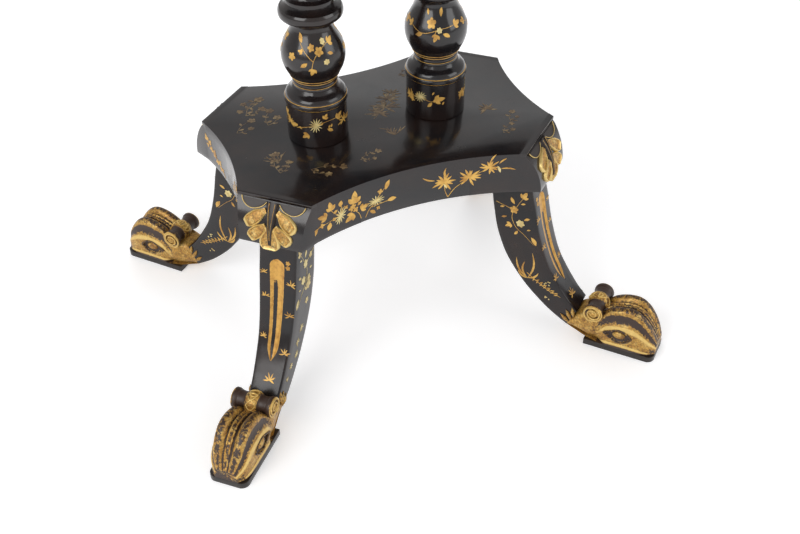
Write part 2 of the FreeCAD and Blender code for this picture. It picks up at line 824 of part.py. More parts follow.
def build():
    nodes = {"platform_board": make_platform_board(), "spine_board": make_spine_board()}
    nodes.update(make_rails())
    nodes["glue_blocks"] = make_glue_blocks()
    corner_block = make_corner_block()
    leaf = make_leaf()
    leg = make_leg()
    foot = make_foot()
    sole = make_sole()
    for name, flips in corners.items():
        nodes["corner_block_" + name] = mirrored(corner_block, *flips)
        nodes["leaf_" + name] = at_corner(leaf, name)
        nodes["leg_" + name] = at_corner(leg, name)
        nodes["foot_" + name] = at_corner(foot, name)
        nodes["sole_" + name] = at_corner(sole, name)
    nodes["leg_pegs"] = Part.makeCompound([at_corner(leg_peg(), name) for name in corners])
    nodes["foot_dowels"] = Part.makeCompound([at_corner(foot_dowel(), name) for name in corners])
    sole_screws = screw_group([sole_screw_args(place) for place in sole_screw_places])
    nodes["sole_screws"] = Part.makeCompound([at_corner(sole_screws, name) for name in corners])
    nodes["column_left"] = make_column(-column_spacing / 2)
    nodes["column_right"] = make_column(column_spacing / 2)
    nodes["column_wedges"] = make_wedges()
    nodes["head_block"] = make_head_block()
    nodes["keeper_plate"] = make_keeper()
    keeper_screws = [keeper_screw_args(x) for x in (-keeper_screw_place, keeper_screw_place)]
    nodes["keeper_screws"] = screw_group(keeper_screws)
    nodes["pivot_pin_left"] = make_pin(-1)
    nodes["pivot_pin_right"] = make_pin(1)
    nodes["top_panel"] = make_top_panel()
    nodes.update(make_lippings())
    nodes["bearer_left"] = make_bearer(-1)
    nodes["bearer_right"] = make_bearer(1)
    nodes["bearer_screws"] = screw_group(bearer_screw_args())
    nodes["bolt_plate"] = make_bolt_plate()
    nodes["bolt_plate_screws"] = screw_group(plate_screw_args())
    nodes["bolt_rod"] = make_bolt()
    nodes["bolt_knob"] = make_knob()
    return nodes


os.makedirs("parts", exist_ok=True)
for node_name, shape in build().items():
    if not shape.isValid():
        print("not valid:", node_name)
    shape.exportStep("parts/" + node_name + ".step")
    print(node_name, len(shape.Solids), round(shape.Volume))
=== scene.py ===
import math
import random
import bpy
from mathutils import Matrix, Vector


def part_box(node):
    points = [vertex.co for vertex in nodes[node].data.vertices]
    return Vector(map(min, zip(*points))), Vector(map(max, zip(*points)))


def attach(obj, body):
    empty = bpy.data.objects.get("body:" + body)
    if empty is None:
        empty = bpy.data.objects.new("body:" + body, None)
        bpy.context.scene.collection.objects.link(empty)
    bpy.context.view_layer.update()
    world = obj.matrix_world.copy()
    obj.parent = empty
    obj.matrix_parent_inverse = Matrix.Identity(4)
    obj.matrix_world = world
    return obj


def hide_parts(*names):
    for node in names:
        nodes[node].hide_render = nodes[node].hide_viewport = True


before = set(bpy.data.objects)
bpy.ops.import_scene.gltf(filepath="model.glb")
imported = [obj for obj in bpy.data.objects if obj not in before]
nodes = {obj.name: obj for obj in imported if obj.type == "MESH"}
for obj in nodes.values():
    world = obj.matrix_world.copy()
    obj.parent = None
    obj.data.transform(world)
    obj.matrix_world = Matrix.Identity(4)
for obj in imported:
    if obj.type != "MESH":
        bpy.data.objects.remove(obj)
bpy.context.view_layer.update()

mm = 0.001

# places shared by many pieces, in millimetres
plinth = {
    "top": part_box("platform_board")[1].z / mm,
    "boardUnderside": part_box("platform_board")[0].z / mm,
    "underside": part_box("rail_front")[0].z / mm,
    "halfLength": 191.0, "halfWidth": 133.4,
    "cantX": 126.6, "cantY": 74.9,
    "longSweep": 23.5, "shortSweep": 10.0,
    "railThickness": 24.0, "blockDepth": 54.0, "boardMargin": 7.0,
}
columnX = (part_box("column_right")[0].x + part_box("column_right")[1].x) / 2 / mm
corners = {"front_left": (-1, -1), "front_right": (1, -1), "back_left": (-1, 1), "back_right": (1, 1)}
cantMid = Vector((plinth["halfLength"] + plinth["cantX"], plinth["halfWidth"] + plinth["cantY"], 0)) / 2
cantRun = Vector((plinth["halfWidth"] - plinth["cantY"], plinth["halfLength"] - plinth["cantX"], 0))
cantEdge = cantRun.length
outward = cantRun.normalized()
across = Vector((-outward.y, outward.x, 0))


# corner places: s outward from the canted edge, v across it, z up
def cornerPoint(corner, s, v, z):
    point = cantMid + outward * s + across * v
    sx, sy = corners[corner]
    return Vector((point.x * sx, point.y * sy, z)) * mm


def deselectAll():
    if bpy.context.object and bpy.context.object.mode != "OBJECT":
        bpy.ops.object.mode_set(mode="OBJECT")
    bpy.ops.object.select_all(action="DESELECT")


def makeActive(piece):
    deselectAll()
    piece.select_set(True)
    bpy.context.view_layer.objects.active = piece


def meshPiece(name, verts, faces):
    mesh = bpy.data.meshes.new(name)
    mesh.from_pydata([tuple(v) for v in verts], [], faces)
    piece = bpy.data.objects.new(name, mesh)
    bpy.context.scene.collection.objects.link(piece)
    return piece


def faceOutwards(piece, weld=True):
    makeActive(piece)
    bpy.ops.object.mode_set(mode="EDIT")
    bpy.ops.mesh.select_all(action="SELECT")
    if weld:
        bpy.ops.mesh.remove_doubles(threshold=0.000005)
    bpy.ops.mesh.normals_make_consistent(inside=False)
    bpy.ops.object.mode_set(mode="OBJECT")


def applyModifier(piece, kind, **settings):
    makeActive(piece)
    modifier = piece.modifiers.new(kind.lower(), kind)
    for key, value in settings.items():
        setattr(modifier, key, value)
    bpy.ops.object.modifier_apply(modifier=modifier.name)


def roundEdges(piece, width, segments=2, angle=35, wornSlot=-1):
    applyModifier(piece, "BEVEL", width=width * mm, segments=segments, limit_method="ANGLE",
                  angle_limit=math.radians(angle), material=wornSlot, harden_normals=False)


# rounds only the sharp edges that wanted(a, b) picks by their two ends, in millimetres
def roundSomeEdges(piece, width, wanted, segments=2, wornSlot=-1):
    mesh = piece.data
    weights = mesh.attributes.new("bevel_weight_edge", "FLOAT", "EDGE")
    for edge in mesh.edges:
        a, b = (mesh.vertices[i].co / mm for i in edge.vertices)
        weights.data[edge.index].value = 1.0 if wanted(a, b) else 0.0
    applyModifier(piece, "BEVEL", width=width * mm, segments=segments, limit_method="WEIGHT",
                  material=wornSlot, harden_normals=False)


def joinPieces(name, pieces):
    makeActive(pieces[0])
    for piece in pieces[1:]:
        piece.select_set(True)
    bpy.ops.object.join()
    joined = bpy.context.object
    joined.name = name
    joined.data.name = name
    return joined


def mirrorCopy(piece, name, sx, sy):
    copy = piece.copy()
    copy.data = piece.data.copy()
    copy.name = name
    copy.data.name = name
    bpy.context.scene.collection.objects.link(copy)
    copy.data.transform(Matrix.Diagonal((sx, sy, 1, 1)))
    if sx * sy < 0:
        copy.data.flip_normals()
    return copy


def finishPiece(piece, body, materials, replaced=(), smoothAngle=35):
    if materials:
        kept = [polygon.material_index for polygon in piece.data.polygons]
        piece.data.materials.clear()
        for material in materials:
            piece.data.materials.append(material)
        for polygon, index in zip(piece.data.polygons, kept):
            polygon.material_index = min(index, len(materials) - 1)
    makeActive(piece)
    bpy.ops.object.shade_smooth_by_angle(angle=math.radians(smoothAngle))
    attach(piece, body)
    if replaced:
        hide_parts(*replaced)
    return piece


# a clean, bevelled copy of a CAD node: merged, with its flat faces joined up
def cleanCopy(node, name, width, wornSlot=-1, segments=2):
    piece = nodes[node].copy()
    piece.data = nodes[node].data.copy()
    piece.parent = None
    piece.name = name
    piece.data.name = name
    for key in list(piece.keys()):
        del piece[key]
    bpy.context.scene.collection.objects.link(piece)
    piece.data.materials.clear()
    makeActive(piece)
    bpy.ops.mesh.customdata_custom_splitnormals_clear()
    bpy.ops.object.mode_set(mode="EDIT")
    bpy.ops.mesh.select_all(action="SELECT")
    bpy.ops.mesh.remove_doubles(threshold=0.000002)
    bpy.ops.mesh.dissolve_limited(angle_limit=math.radians(0.6))
    bpy.ops.object.mode_set(mode="OBJECT")
    if width:
        roundEdges(piece, width, segments, 40, wornSlot)
    return piece


def pieceWord(corner):
    return corner.title().replace("_", "")


def smoothStep(low, high, value):
    t = min(1.0, max(0.0, (value - low) / (high - low)))
    return t * t * (3 - 2 * t)


# a smooth curve through the points, as (first, second) pairs, read at share t of its points
def throughPoints(points, t):
    place = t * (len(points) - 1)
    i = min(int(place), len(points) - 2)
    u = place - i
    p = [points[max(0, min(len(points) - 1, i + k))] for k in (-1, 0, 1, 2)]
    result = []
    for axis in range(len(points[0])):
        a, b, c, d = (q[axis] for q in p)
        result.append(0.5 * (2 * b + (c - a) * u + (2 * a - 5 * b + 4 * c - d) * u * u
                             + (3 * b - a - 3 * c + d) * u ** 3))
    return result


# a closed grid of rings: every ring has as many points, and the ends are capped
def ringFaces(rings, count, capped=True):
    faces = []
    for i in range(rings - 1):
        for j in range(count):
            k = (j + 1) % count
            faces.append((i * count + j, i * count + k, (i + 1) * count + k, (i + 1) * count + j))
    if capped:
        faces.append(tuple(range(count - 1, -1, -1)))
        faces.append(tuple(range((rings - 1) * count, rings * count)))
    return faces


# a round bar along points in metres, thick as radius says at each point
def roundBar(name, points, radius, sides=8, closed=False):
    curve = bpy.data.curves.new(name, "CURVE")
    curve.dimensions = "3D"
    curve.bevel_depth = 1.0
    curve.bevel_resolution = max(0, sides // 2 - 2)
    curve.use_fill_caps = True
    spline = curve.splines.new("POLY")
    spline.points.add(len(points) - 1)
    for i, point in enumerate(points):
        spline.points[i].co = (*point, 1)
        spline.points[i].radius = radius(i / (len(points) - 1)) if callable(radius) else radius
    spline.use_cyclic_u = closed
    bar = bpy.data.objects.new(name, curve)
    bpy.context.scene.collection.objects.link(bar)
    makeActive(bar)
    bpy.ops.object.convert(target="MESH")
    return bpy.context.object


def writeGild(piece, values):
    attribute = piece.data.attributes.get("gild") or piece.data.attributes.new("gild", "FLOAT", "POINT")
    for i, value in enumerate(values):
        attribute.data[i].value = value


def setGild(piece, value):
    writeGild(piece, [value] * len(piece.data.vertices))


class Wires:
    def __init__(self, name):
        self.material = bpy.data.materials.new(name)
        self.material.use_nodes = True
        self.tree = self.material.node_tree
        self.shader = self.tree.nodes["Principled BSDF"]
        self.place = self.tree.nodes.new("ShaderNodeTexCoord").outputs["Object"]

    def add(self, kind, **values):
        node = self.tree.nodes.new(kind)
        for key, value in values.items():
            if key in node.inputs:
                node.inputs[key].default_value = value
            else:
                setattr(node, key, value)
        return node

    def link(self, source, target):
        self.tree.links.new(source, target)

    def noise(self, scale, detail=4.0, roughness=0.6, stretch=None):
        node = self.add("ShaderNodeTexNoise", Scale=scale, Detail=detail, Roughness=roughness)
        source = self.place
        if stretch:
            mapping = self.add("ShaderNodeMapping", Scale=stretch)
            self.link(source, mapping.inputs["Vector"])
            source = mapping.outputs["Vector"]
        self.link(source, node.inputs["Vector"])
        return node.outputs["Fac"]

    def ramp(self, source, stops):
        node = self.add("ShaderNodeValToRGB")
        elements = node.color_ramp.elements
        while len(elements) < len(stops):
            elements.new(0.5)
        for element, (place, color) in zip(elements, stops):
            element.position = place
            element.color = (*color, 1) if isinstance(color, tuple) else (color, color, color, 1)
        self.link(source, node.inputs["Fac"])
        return node.outputs["Color"]

    def mix(self, factor, first, second):
        node = self.add("ShaderNodeMix", data_type="RGBA")
        for socket, value in ((0, factor), (6, first), (7, second)):
            if isinstance(value, bpy.types.NodeSocket):
                self.link(value, node.inputs[socket])
            elif socket:
                node.inputs[socket].default_value = (*value, 1)
            else:
                node.inputs[socket].default_value = value
        return node.outputs[2]

    def math(self, operation, first, second):
        node = self.add("ShaderNodeMath", operation=operation)
        for i, value in enumerate((first, second)):
            if isinstance(value, bpy.types.NodeSocket):
                self.link(value, node.inputs[i])
            else:
                node.inputs[i].default_value = value
        return node.outputs[0]

    def bump(self, height, strength, distance):
        node = self.add("ShaderNodeBump", Strength=strength, Distance=distance)
        self.link(height, node.inputs["Height"])
        self.link(node.outputs["Normal"], self.shader.inputs["Normal"])

    def set(self, **values):
        for key, value in values.items():
            name = key.replace("_", " ")
            if isinstance(value, bpy.types.NodeSocket):
                self.link(value, self.shader.inputs[name])
            else:
                self.shader.inputs[name].default_value = value


lacquer = {
    "black": (0.0075, 0.0065, 0.0075), "brownBlack": (0.022, 0.0125, 0.010), "rubbed": (0.055, 0.030, 0.022),
    "roughness": (0.10, 0.30), "scratches": 0.035, "edge": (0.30, 0.25, 0.20),
}
gilding = {
    "leaf": (0.72, 0.43, 0.10), "leafDark": (0.40, 0.19, 0.035), "pale": (0.80, 0.66, 0.30),
    "paleDark": (0.50, 0.36, 0.13), "faded": (0.46, 0.33, 0.15), "fadedDark": (0.22, 0.14, 0.06),
    "bole": (0.040, 0.022, 0.014),
}


# black lacquer: brown where it is thin, fine scratches, slow waves from the brush
def lacquerBase(w):
    cloud = w.noise(22, 5, 0.62)
    thin = w.ramp(cloud, [(0.38, lacquer["black"]), (0.72, lacquer["brownBlack"])])
    rubbedPlaces = w.ramp(w.noise(70, 6, 0.7), [(0.66, 0.0), (0.78, 0.55)])
    return w.mix(rubbedPlaces, thin, lacquer["rubbed"])


def lacquerMaterial(name="blackLacquer"):
    w = Wires(name)
    low, high = lacquer["roughness"]
    haze = w.ramp(w.noise(35, 6, 0.65), [(0.3, low), (0.75, high)])
    scratches = w.noise(420, 3, 0.5, (1.0, 0.12, 0.5))
    orange = w.noise(150, 2, 0.5)
    w.bump(w.math("ADD", w.math("MULTIPLY", scratches, 0.35), orange), lacquer["scratches"], 0.0006)
    w.set(Base_Color=lacquerBase(w), Roughness=haze, Coat_Weight=0.2, Coat_Roughness=0.1,
          Specular_IOR_Level=0.46)
    return w.material


# the same lacquer worn through along an edge
def wornEdgeMaterial():
    w = Wires("wornEdge")
    worn = w.ramp(w.noise(95, 5, 0.75), [(0.44, 0.0), (0.60, 0.85)])
    w.set(Base_Color=w.mix(worn, lacquerBase(w), lacquer["edge"]),
          Roughness=w.ramp(worn, [(0, 0.2), (1, 0.55)]))
    return w.material


# lacquer and carved gilding in one finish; the gild attribute says how much gold is left, and its low value
# on the foot's eye floor gives that floor its dark colour and paints shade into the hollow
def carvedMaterial(name, gold, goldDark, bright, under, wear=1.5, dullness=0.42):
    w = Wires(name)
    attribute = w.add("ShaderNodeAttribute", attribute_name="gild")
    patches = w.noise(260, 6, 0.72)
    amount = w.math("ADD", attribute.outputs["Fac"],
                    w.math("MULTIPLY", w.math("SUBTRACT", patches, 0.5), wear))
    shown = w.ramp(amount, [(0.44, 0.0), (0.56, 1.0)])
    tone = w.ramp(w.noise(120, 6, 0.7), [(0.30, goldDark), (0.50, gold), (0.72, bright)])
    grime = w.ramp(w.noise(420, 5, 0.8), [(0.35, 0.75), (0.60, 0.0)])
    dirty = w.mix(grime, tone, under)
    raised = w.mix(w.ramp(attribute.outputs["Fac"], [(0.78, 0.0), (0.93, 0.75)]), dirty, bright)
    w.set(Base_Color=w.mix(shown, under, raised), Roughness=w.ramp(shown, [(0, dullness), (1, 0.38)]),
          Metallic=w.math("MULTIPLY", shown, 0.4))
    w.bump(w.math("ADD", patches, shown), 0.25, 0.0005)
    return w.material


def giltMaterial(name, gold, goldDark, wear):
    w = Wires(name)
    patches = w.ramp(w.noise(230, 6, 0.75), [(wear - 0.10, 1.0), (wear + 0.06, 0.0)])
    tone = w.ramp(w.noise(90, 4, 0.6), [(0.32, goldDark), (0.60, gold)])
    w.set(Base_Color=w.mix(patches, tone, gilding["bole"]), Roughness=0.42, Metallic=0.3)
    w.bump(w.noise(600, 3, 0.6), 0.12, 0.0002)
    return w.material


# gilding almost rubbed away: faint gold in the lacquer
def fadedMaterial(name):
    w = Wires(name)
    patches = w.ramp(w.noise(140, 6, 0.75), [(0.46, 0.75), (0.64, 0.1)])
    tone = w.ramp(w.noise(60, 4, 0.6), [(0.36, gilding["fadedDark"]), (0.62, gilding["faded"])])
    low, high = lacquer["roughness"]
    w.set(Base_Color=w.mix(patches, tone, lacquer["rubbed"]),
          Roughness=w.ramp(w.noise(35, 6, 0.65), [(0.3, low), (0.75, high)]),
          Specular_IOR_Level=0.36)
    return w.material


def woodMaterial(name, pale, dark, roughness):
    w = Wires(name)
    grain = w.noise(26, 6, 0.62, (1.0, 9.0, 9.0))
    pores = w.noise(340, 3, 0.6, (0.08, 1.0, 1.0))
    tone = w.ramp(w.math("ADD", w.math("MULTIPLY", grain, 0.75), w.math("MULTIPLY", pores, 0.25)),
                  [(0.36, dark), (0.62, pale)])
    w.set(Base_Color=tone, Roughness=roughness)
    w.bump(pores, 0.12, 0.0004)
    return w.material


def metalMaterial(name, bright, dull, roughness, metallic=1.0):
    w = Wires(name)
    tarnish = w.noise(160, 6, 0.7)
    w.set(Base_Color=w.ramp(tarnish, [(0.36, dull), (0.62, bright)]), Metallic=metallic,
          Roughness=w.ramp(w.noise(420, 4, 0.6), [(0.3, roughness), (0.75, roughness + 0.2)]))
    w.bump(w.noise(700, 3, 0.6), 0.06, 0.0002)
    return w.material


blackLacquer = lacquerMaterial()
wornEdge = wornEdgeMaterial()
carvedGilt = carvedMaterial("carvedGilt", (0.64, 0.36, 0.08), (0.34, 0.14, 0.03), (0.88, 0.67, 0.26),
                            (0.020, 0.012, 0.009), 1.0)
footGilt = carvedMaterial("footGilt", (0.62, 0.34, 0.065), (0.26, 0.11, 0.028), (0.82, 0.58, 0.19),
                          (0.038, 0.019, 0.012), 1.5, 0.46)
leafGilt = giltMaterial("leafGilt", gilding["leaf"], gilding["leafDark"], 0.36)
paleGilt = giltMaterial("paleGilt", gilding["pale"], gilding["paleDark"], 0.34)
fadedGilt = fadedMaterial("fadedGilt")
ebonised = woodMaterial("ebonisedWood", (0.022, 0.014, 0.010), (0.008, 0.006, 0.005), 0.34)
bareWood = woodMaterial("bareWood", (0.40, 0.25, 0.13), (0.22, 0.12, 0.06), 0.7)
oldBrass = metalMaterial("oldBrass", (0.72, 0.50, 0.20), (0.36, 0.22, 0.08), 0.25)
dullIron = metalMaterial("dullIron", (0.26, 0.24, 0.23), (0.10, 0.08, 0.07), 0.45)
print("finishes made")


# a box cut off by planes: every cut is a point and the direction of the waste
def cutBox(name, low, high, cuts=()):
    deselectAll()
    bpy.ops.mesh.primitive_cube_add(size=1, location=(low + high) / 2 * mm)
    piece = bpy.context.object
    piece.scale = (high - low) * mm
    bpy.ops.object.transform_apply(location=True, rotation=True, scale=True)
    piece.name = name
    piece.data.name = name
    bpy.ops.object.mode_set(mode="EDIT")
    for point, direction in cuts:
        bpy.ops.mesh.select_all(action="SELECT")
        bpy.ops.mesh.bisect(plane_co=point * mm, plane_no=direction, use_fill=True, clear_outer=True)
    bpy.ops.object.mode_set(mode="OBJECT")
    return piece


# the cylinder that a side of the platform follows, grown outwards or inwards by offset
def sideCylinder(side, offset=0.0):
    long = side in ("front", "back")
    half, sweep, reach = (plinth[k] for k in (("cantX", "longSweep", "halfWidth") if long
                                              else ("cantY", "shortSweep", "halfLength")))
    radius = (half ** 2 + sweep ** 2) / (2 * sweep)
    centre = (reach - sweep + radius) * (1 if side in ("back", "right") else -1)
    deselectAll()
    bpy.ops.mesh.primitive_cylinder_add(vertices=320, radius=(radius + offset) * mm, depth=0.2,
                                        location=((0, centre * mm, 0.24) if long else (centre * mm, 0, 0.24)))
    bpy.ops.object.transform_apply(location=True, rotation=True, scale=True)
    return bpy.context.object


def cutWith(piece, cutter, operation="DIFFERENCE"):
    applyModifier(piece, "BOOLEAN", object=cutter, operation=operation, solver="EXACT")
    bpy.data.objects.remove(cutter)


cantDistance = cantMid.dot(outward)


# the four canted corners, cut back from the edge by a margin
def cantCuts(margin):
    cuts = []
    for sx, sy in corners.values():
        direction = Vector((outward.x * sx, outward.y * sy, 0))
        cuts.append((direction * (cantDistance - margin), direction))
    return cuts


# an edge that lies in the canted joint with a corner block
def atJoint(a, b):
    margins = (plinth["boardMargin"], plinth["blockDepth"])
    flat = [Vector((abs(p.x), abs(p.y), 0)).dot(outward) for p in (a, b)]
    return any(max(abs(f - cantDistance + m) for f in flat) < 0.05 for m in margins)


def onUpperEdge(a, b):
    return min(a.z, b.z) > plinth["top"] - 0.01 and not atJoint(a, b)


def onLowerEdge(a, b):
    return max(a.z, b.z) < plinth["underside"] + 0.01 and not atJoint(a, b)


def makePlatform():
    x, y = plinth["halfLength"], plinth["halfWidth"]
    board = cutBox("platformBoard", Vector((-x, -y, plinth["boardUnderside"])), Vector((x, y, plinth["top"])),
                   cantCuts(plinth["boardMargin"]))
    for side in ("front", "back", "left", "right"):
        cutWith(board, sideCylinder(side))
    roundSomeEdges(board, 0.7, onUpperEdge, 2, 1)
    finishPiece(board, "base", [blackLacquer, wornEdge], ["platform_board"])
    rails = {"front": ((-x, -y), (x, -y / 3)), "back": ((-x, y / 3), (x, y)),
             "left": ((-x, -y), (-x / 2, y)), "right": ((x / 2, -y), (x, y))}
    for side, (low, high) in rails.items():
        rail = cutBox("rail" + side.title(), Vector((*low, plinth["underside"])),
                      Vector((*high, plinth["boardUnderside"])), cantCuts(plinth["blockDepth"]))
        cutWith(rail, sideCylinder(side, plinth["railThickness"]), "INTERSECT")
        cutWith(rail, sideCylinder(side))
        roundSomeEdges(rail, 0.5, onLowerEdge, 2, 1)
        finishPiece(rail, "base", [blackLacquer, wornEdge], ["rail_" + side])


cornerBlock = {
    "flare": 17.5, "taper": 6.5, "filletHeight": 4.5, "footBand": 5.0, "belly": 0.72,
    "levels": 14, "grooveDepth": 0.8, "grooveHeight": 0.9,
}


# how far the canted face stands out at a height
def flareAt(z):
    c = cornerBlock
    top, low = plinth["top"] - c["filletHeight"], plinth["underside"] + c["footBand"]
    if z >= top:
        return 0.0
    if z <= low:
        return c["flare"]
    a, b, d = Vector((0, top)), Vector((c["flare"] * c["belly"], (top + low) / 2)), Vector((c["flare"], low))
    ma, mb = (a + b) / 2, (b + d) / 2
    na, nb = Vector((-(b - a).y, (b - a).x)), Vector((-(d - b).y, (d - b).x))
    t = ((mb - ma).x * nb.y - (mb - ma).y * nb.x) / (na.x * nb.y - na.y * nb.x)
    centre = ma + na * t
    return centre.x + math.sqrt(max(0, (a - centre).length ** 2 - (z - centre.y) ** 2))


# an outer edge of the canted face, or the foot of the wall beside it
def onCant(a, b):
    if max(a.z, b.z) < plinth["underside"] + 0.01:
        return min(a.dot(outward), b.dot(outward)) > cantDistance - plinth["blockDepth"] + 0.1
    if min(a.dot(outward), b.dot(outward)) < cantDistance - 0.05:
        return False
    if min(a.z, b.z) > plinth["top"] - 0.01:
        return True
    sides = [(p - cantMid).dot(across) for p in (a, b)]
    return min(sides) > cantEdge / 3 or max(sides) < -cantEdge / 3


# a corner of the platform: cut to plan, then its canted face is drawn out level by level
def makeCornerBlocks():
    c = cornerBlock
    back = plinth["blockDepth"]
    block = cutBox("cornerBlock", Vector((40, 4, plinth["underside"])),
                   Vector((plinth["halfLength"], plinth["halfWidth"], plinth["top"])),
                   [(outward * cantDistance, outward), (outward * (cantDistance - back), -outward)])
    waste = cutBox("waste", Vector((0, 0, plinth["boardUnderside"])), Vector((300, 300, plinth["top"] + 10)),
                   [(outward * (cantDistance - plinth["boardMargin"]), outward)])
    cutWith(block, sideCylinder("back"))
    cutWith(block, sideCylinder("right"))
    cutWith(block, waste)
    low, top = plinth["underside"] + c["footBand"], plinth["top"] - c["filletHeight"]
    heights = [low + (top - low) * i / c["levels"] for i in range(c["levels"] + 1)]
    heights += [top + c["grooveHeight"], top + c["grooveHeight"] + 0.4]
    makeActive(block)
    bpy.ops.object.mode_set(mode="EDIT")
    for z in heights:
        bpy.ops.mesh.select_all(action="SELECT")
        bpy.ops.mesh.bisect(plane_co=(0, 0, z * mm), plane_no=(0, 0, 1))
    bpy.ops.object.mode_set(mode="OBJECT")
    for vertex in block.data.vertices:
        point = vertex.co / mm
        if point.dot(outward) > cantDistance - 0.05:
            stand = flareAt(point.z)
            v = (point - cantMid).dot(across)
            drawn = v * (1 - c["taper"] * stand / c["flare"] / (cantEdge / 2))
            if top - 0.1 < point.z < top + c["grooveHeight"] + 0.1:
                stand -= c["grooveDepth"]
            vertex.co = (cantMid + across * drawn + outward * stand + Vector((0, 0, point.z))) * mm
    roundSomeEdges(block, 0.6, onCant, 2, 1)
    for corner, (sx, sy) in corners.items():
        copy = mirrorCopy(block, "cornerBlock" + pieceWord(corner), sx, sy)
        finishPiece(copy, "base", [blackLacquer, wornEdge], ["corner_block_" + corner])
    bpy.data.objects.remove(block)


makePlatform()
makeCornerBlocks()
print("platform made")


leg = {
    "outer": [(0.5, 1.0), (4.5, 0.87), (9.0, 0.76), (14.5, 0.6025), (23.0, 0.4336), (31.5, 0.31),
              (42.0, 0.208), (51.0, 0.132), (59.5, 0.0676), (70.5, 0.0)],
    "inner": [(-50.0, 1.0), (-47.0, 0.85), (-43.5, 0.732), (-38.0, 0.594), (-28.0, 0.452), (-15.0, 0.339),
              (1.0, 0.233), (18.0, 0.147), (36.0, 0.071), (58.0, 0.0)],
    "outerFoot": 43.0, "innerFoot": 17.0, "fullHalf": 22.5, "ankleHalf": 17.5, "taperShare": 0.62,
    "edgeRound": 2.6, "fluteTop": 192.4, "fluteFoot": 74.0, "fluteHalf": 8.4, "fluteDepth": 2.3,
    "stations": 96,
}


def legOuter(t):
    s, share = throughPoints(leg["outer"], t)
    return s, leg["outerFoot"] + share * (plinth["underside"] - leg["outerFoot"])


def legInner(t):
    s, share = throughPoints(leg["inner"], t)
    return s, leg["innerFoot"] + share * (plinth["underside"] - leg["innerFoot"])


def legHalf(z):
    turn = leg["outerFoot"] + (plinth["underside"] - leg["outerFoot"]) * leg["taperShare"]
    share = min(1.0, max(0.0, (z - leg["innerFoot"]) / (turn - leg["innerFoot"])))
    return leg["ankleHalf"] + (leg["fullHalf"] - leg["ankleHalf"]) * share


# half width of the sunk flute at a height, round above and pointed below
def fluteHalfAt(z):
    top, foot, half = leg["fluteTop"], leg["fluteFoot"], leg["fluteHalf"]
    if z > top or z < foot:
        return 0.0
    if z > top - half:
        return math.sqrt(max(0.0, half ** 2 - (z - top + half) ** 2))
    share = (z - foot) / (top - half - foot)
    return half * min(1.0, 0.72 + 0.28 * share) * math.sin(min(1.0, share / 0.16) * math.pi / 2) ** 0.8


def legHeightToStation(z):
    low, high = 0.0, 1.0
    for _ in range(24):
        middle = (low + high) / 2
        if legOuter(middle)[1] > z:
            low = middle
        else:
            high = middle
    return (low + high) / 2


def makeLegs():
    r = leg["edgeRound"]
    rings, gild = [], []
    fluteSteps = [-1.35, -1.16, -1.0, -0.86, -0.7, -0.5, -0.3, -0.1, 0.1, 0.3, 0.5, 0.7, 0.86, 1.0, 1.16,
                  1.35]
    for i in range(leg["stations"] + 1):
        t = i / leg["stations"]
        so, zo = legOuter(t)
        si, zi = legInner(t)
        s2, z2 = legOuter(min(1, t + 0.01))
        s1, z1 = legOuter(max(0, t - 0.01))
        along = Vector((s2 - s1, z2 - z1)).normalized()
        normal = Vector((-along.y, along.x))          # out of the outer face
        half, halfIn = legHalf(zo), legHalf(zi)
        flute = fluteHalfAt(zo)
        reach = max(flute, 0.6)
        ring, gold = [], []
        ring = [(-half, r), (-half + r * 0.08, r * 0.62), (-half + r * 0.3, r * 0.3),
                (-half + r * 0.62, r * 0.08), (-half + r, 0.0),
                (-reach * 1.35 - (half - r - reach * 1.35) * 0.5, 0.0)]
        gold = [0.0] * 6
        for f in fluteSteps:
            v = f * reach
            inside = max(0.0, 1 - abs(f)) if flute > 0.05 else 0.0
            depth = leg["fluteDepth"] * smoothStep(0.0, 0.42, inside) * min(1.0, flute / 3.0)
            ring.append((v, depth))
            rim = 0.9 if 0.90 < abs(f) < 1.1 else 0.0
            if abs(f) <= 0.90:
                upper = smoothStep(0.0, 0.6, (zo - leg["fluteTop"] + 42) / 42)
                # inside the flute the strip from f -0.55 to 0.05 gets little gilding: painted shadow down the
                # flute's shaded side, the rest is gold
                rim = max(upper * 0.95, 0.12 if -0.55 < f < 0.05 else 0.82)
            gold.append(rim if flute > 0.4 else 0.0)
        ring += [(-v, d) for v, d in ring[:6]][::-1]
        gold += [0.0] * 6
        points = [cornerVector(so - normal.x * d, v, zo - normal.y * d) for v, d in ring]
        for f in (0.7, 0.4, 0.1):
            v = half + (halfIn - half) * (1 - f)
            points.append(cornerVector(si + (so - si) * f, v, zi + (zo - zi) * f))
        gold += [0.0] * 3
        inward = Vector((si - so, zi - zo)).normalized()
        backRing = [(halfIn, r), (halfIn - r * 0.3, r * 0.3), (halfIn - r, 0), (0, 0), (-halfIn + r, 0),
                    (-halfIn + r * 0.3, r * 0.3), (-halfIn, r)]
        points += [cornerVector(si - inward.x * d, v, zi - inward.y * d) for v, d in backRing]
        gold += [0.0] * 7
        for f in (0.1, 0.4, 0.7):
            v = half + (halfIn - half) * (1 - f)
            points.append(cornerVector(si + (so - si) * f, -v, zi + (zo - zi) * f))
        gold += [0.0] * 3
        rings.append(points)
        gild += gold
    count = len(rings[0])
    piece = meshPiece("leg", [p for ring in rings for p in ring], ringFaces(len(rings), count))
    writeGild(piece, gild)
    faceOutwards(piece, False)
    for corner, (sx, sy) in corners.items():
        copy = mirrorCopy(piece, "leg" + pieceWord(corner), sx, sy)
        finishPiece(copy, "base", [legFinish], ["leg_" + corner])
    bpy.data.objects.remove(piece)


def cornerVector(s, v, z):
    return cornerPoint("back_right", s, v, z)
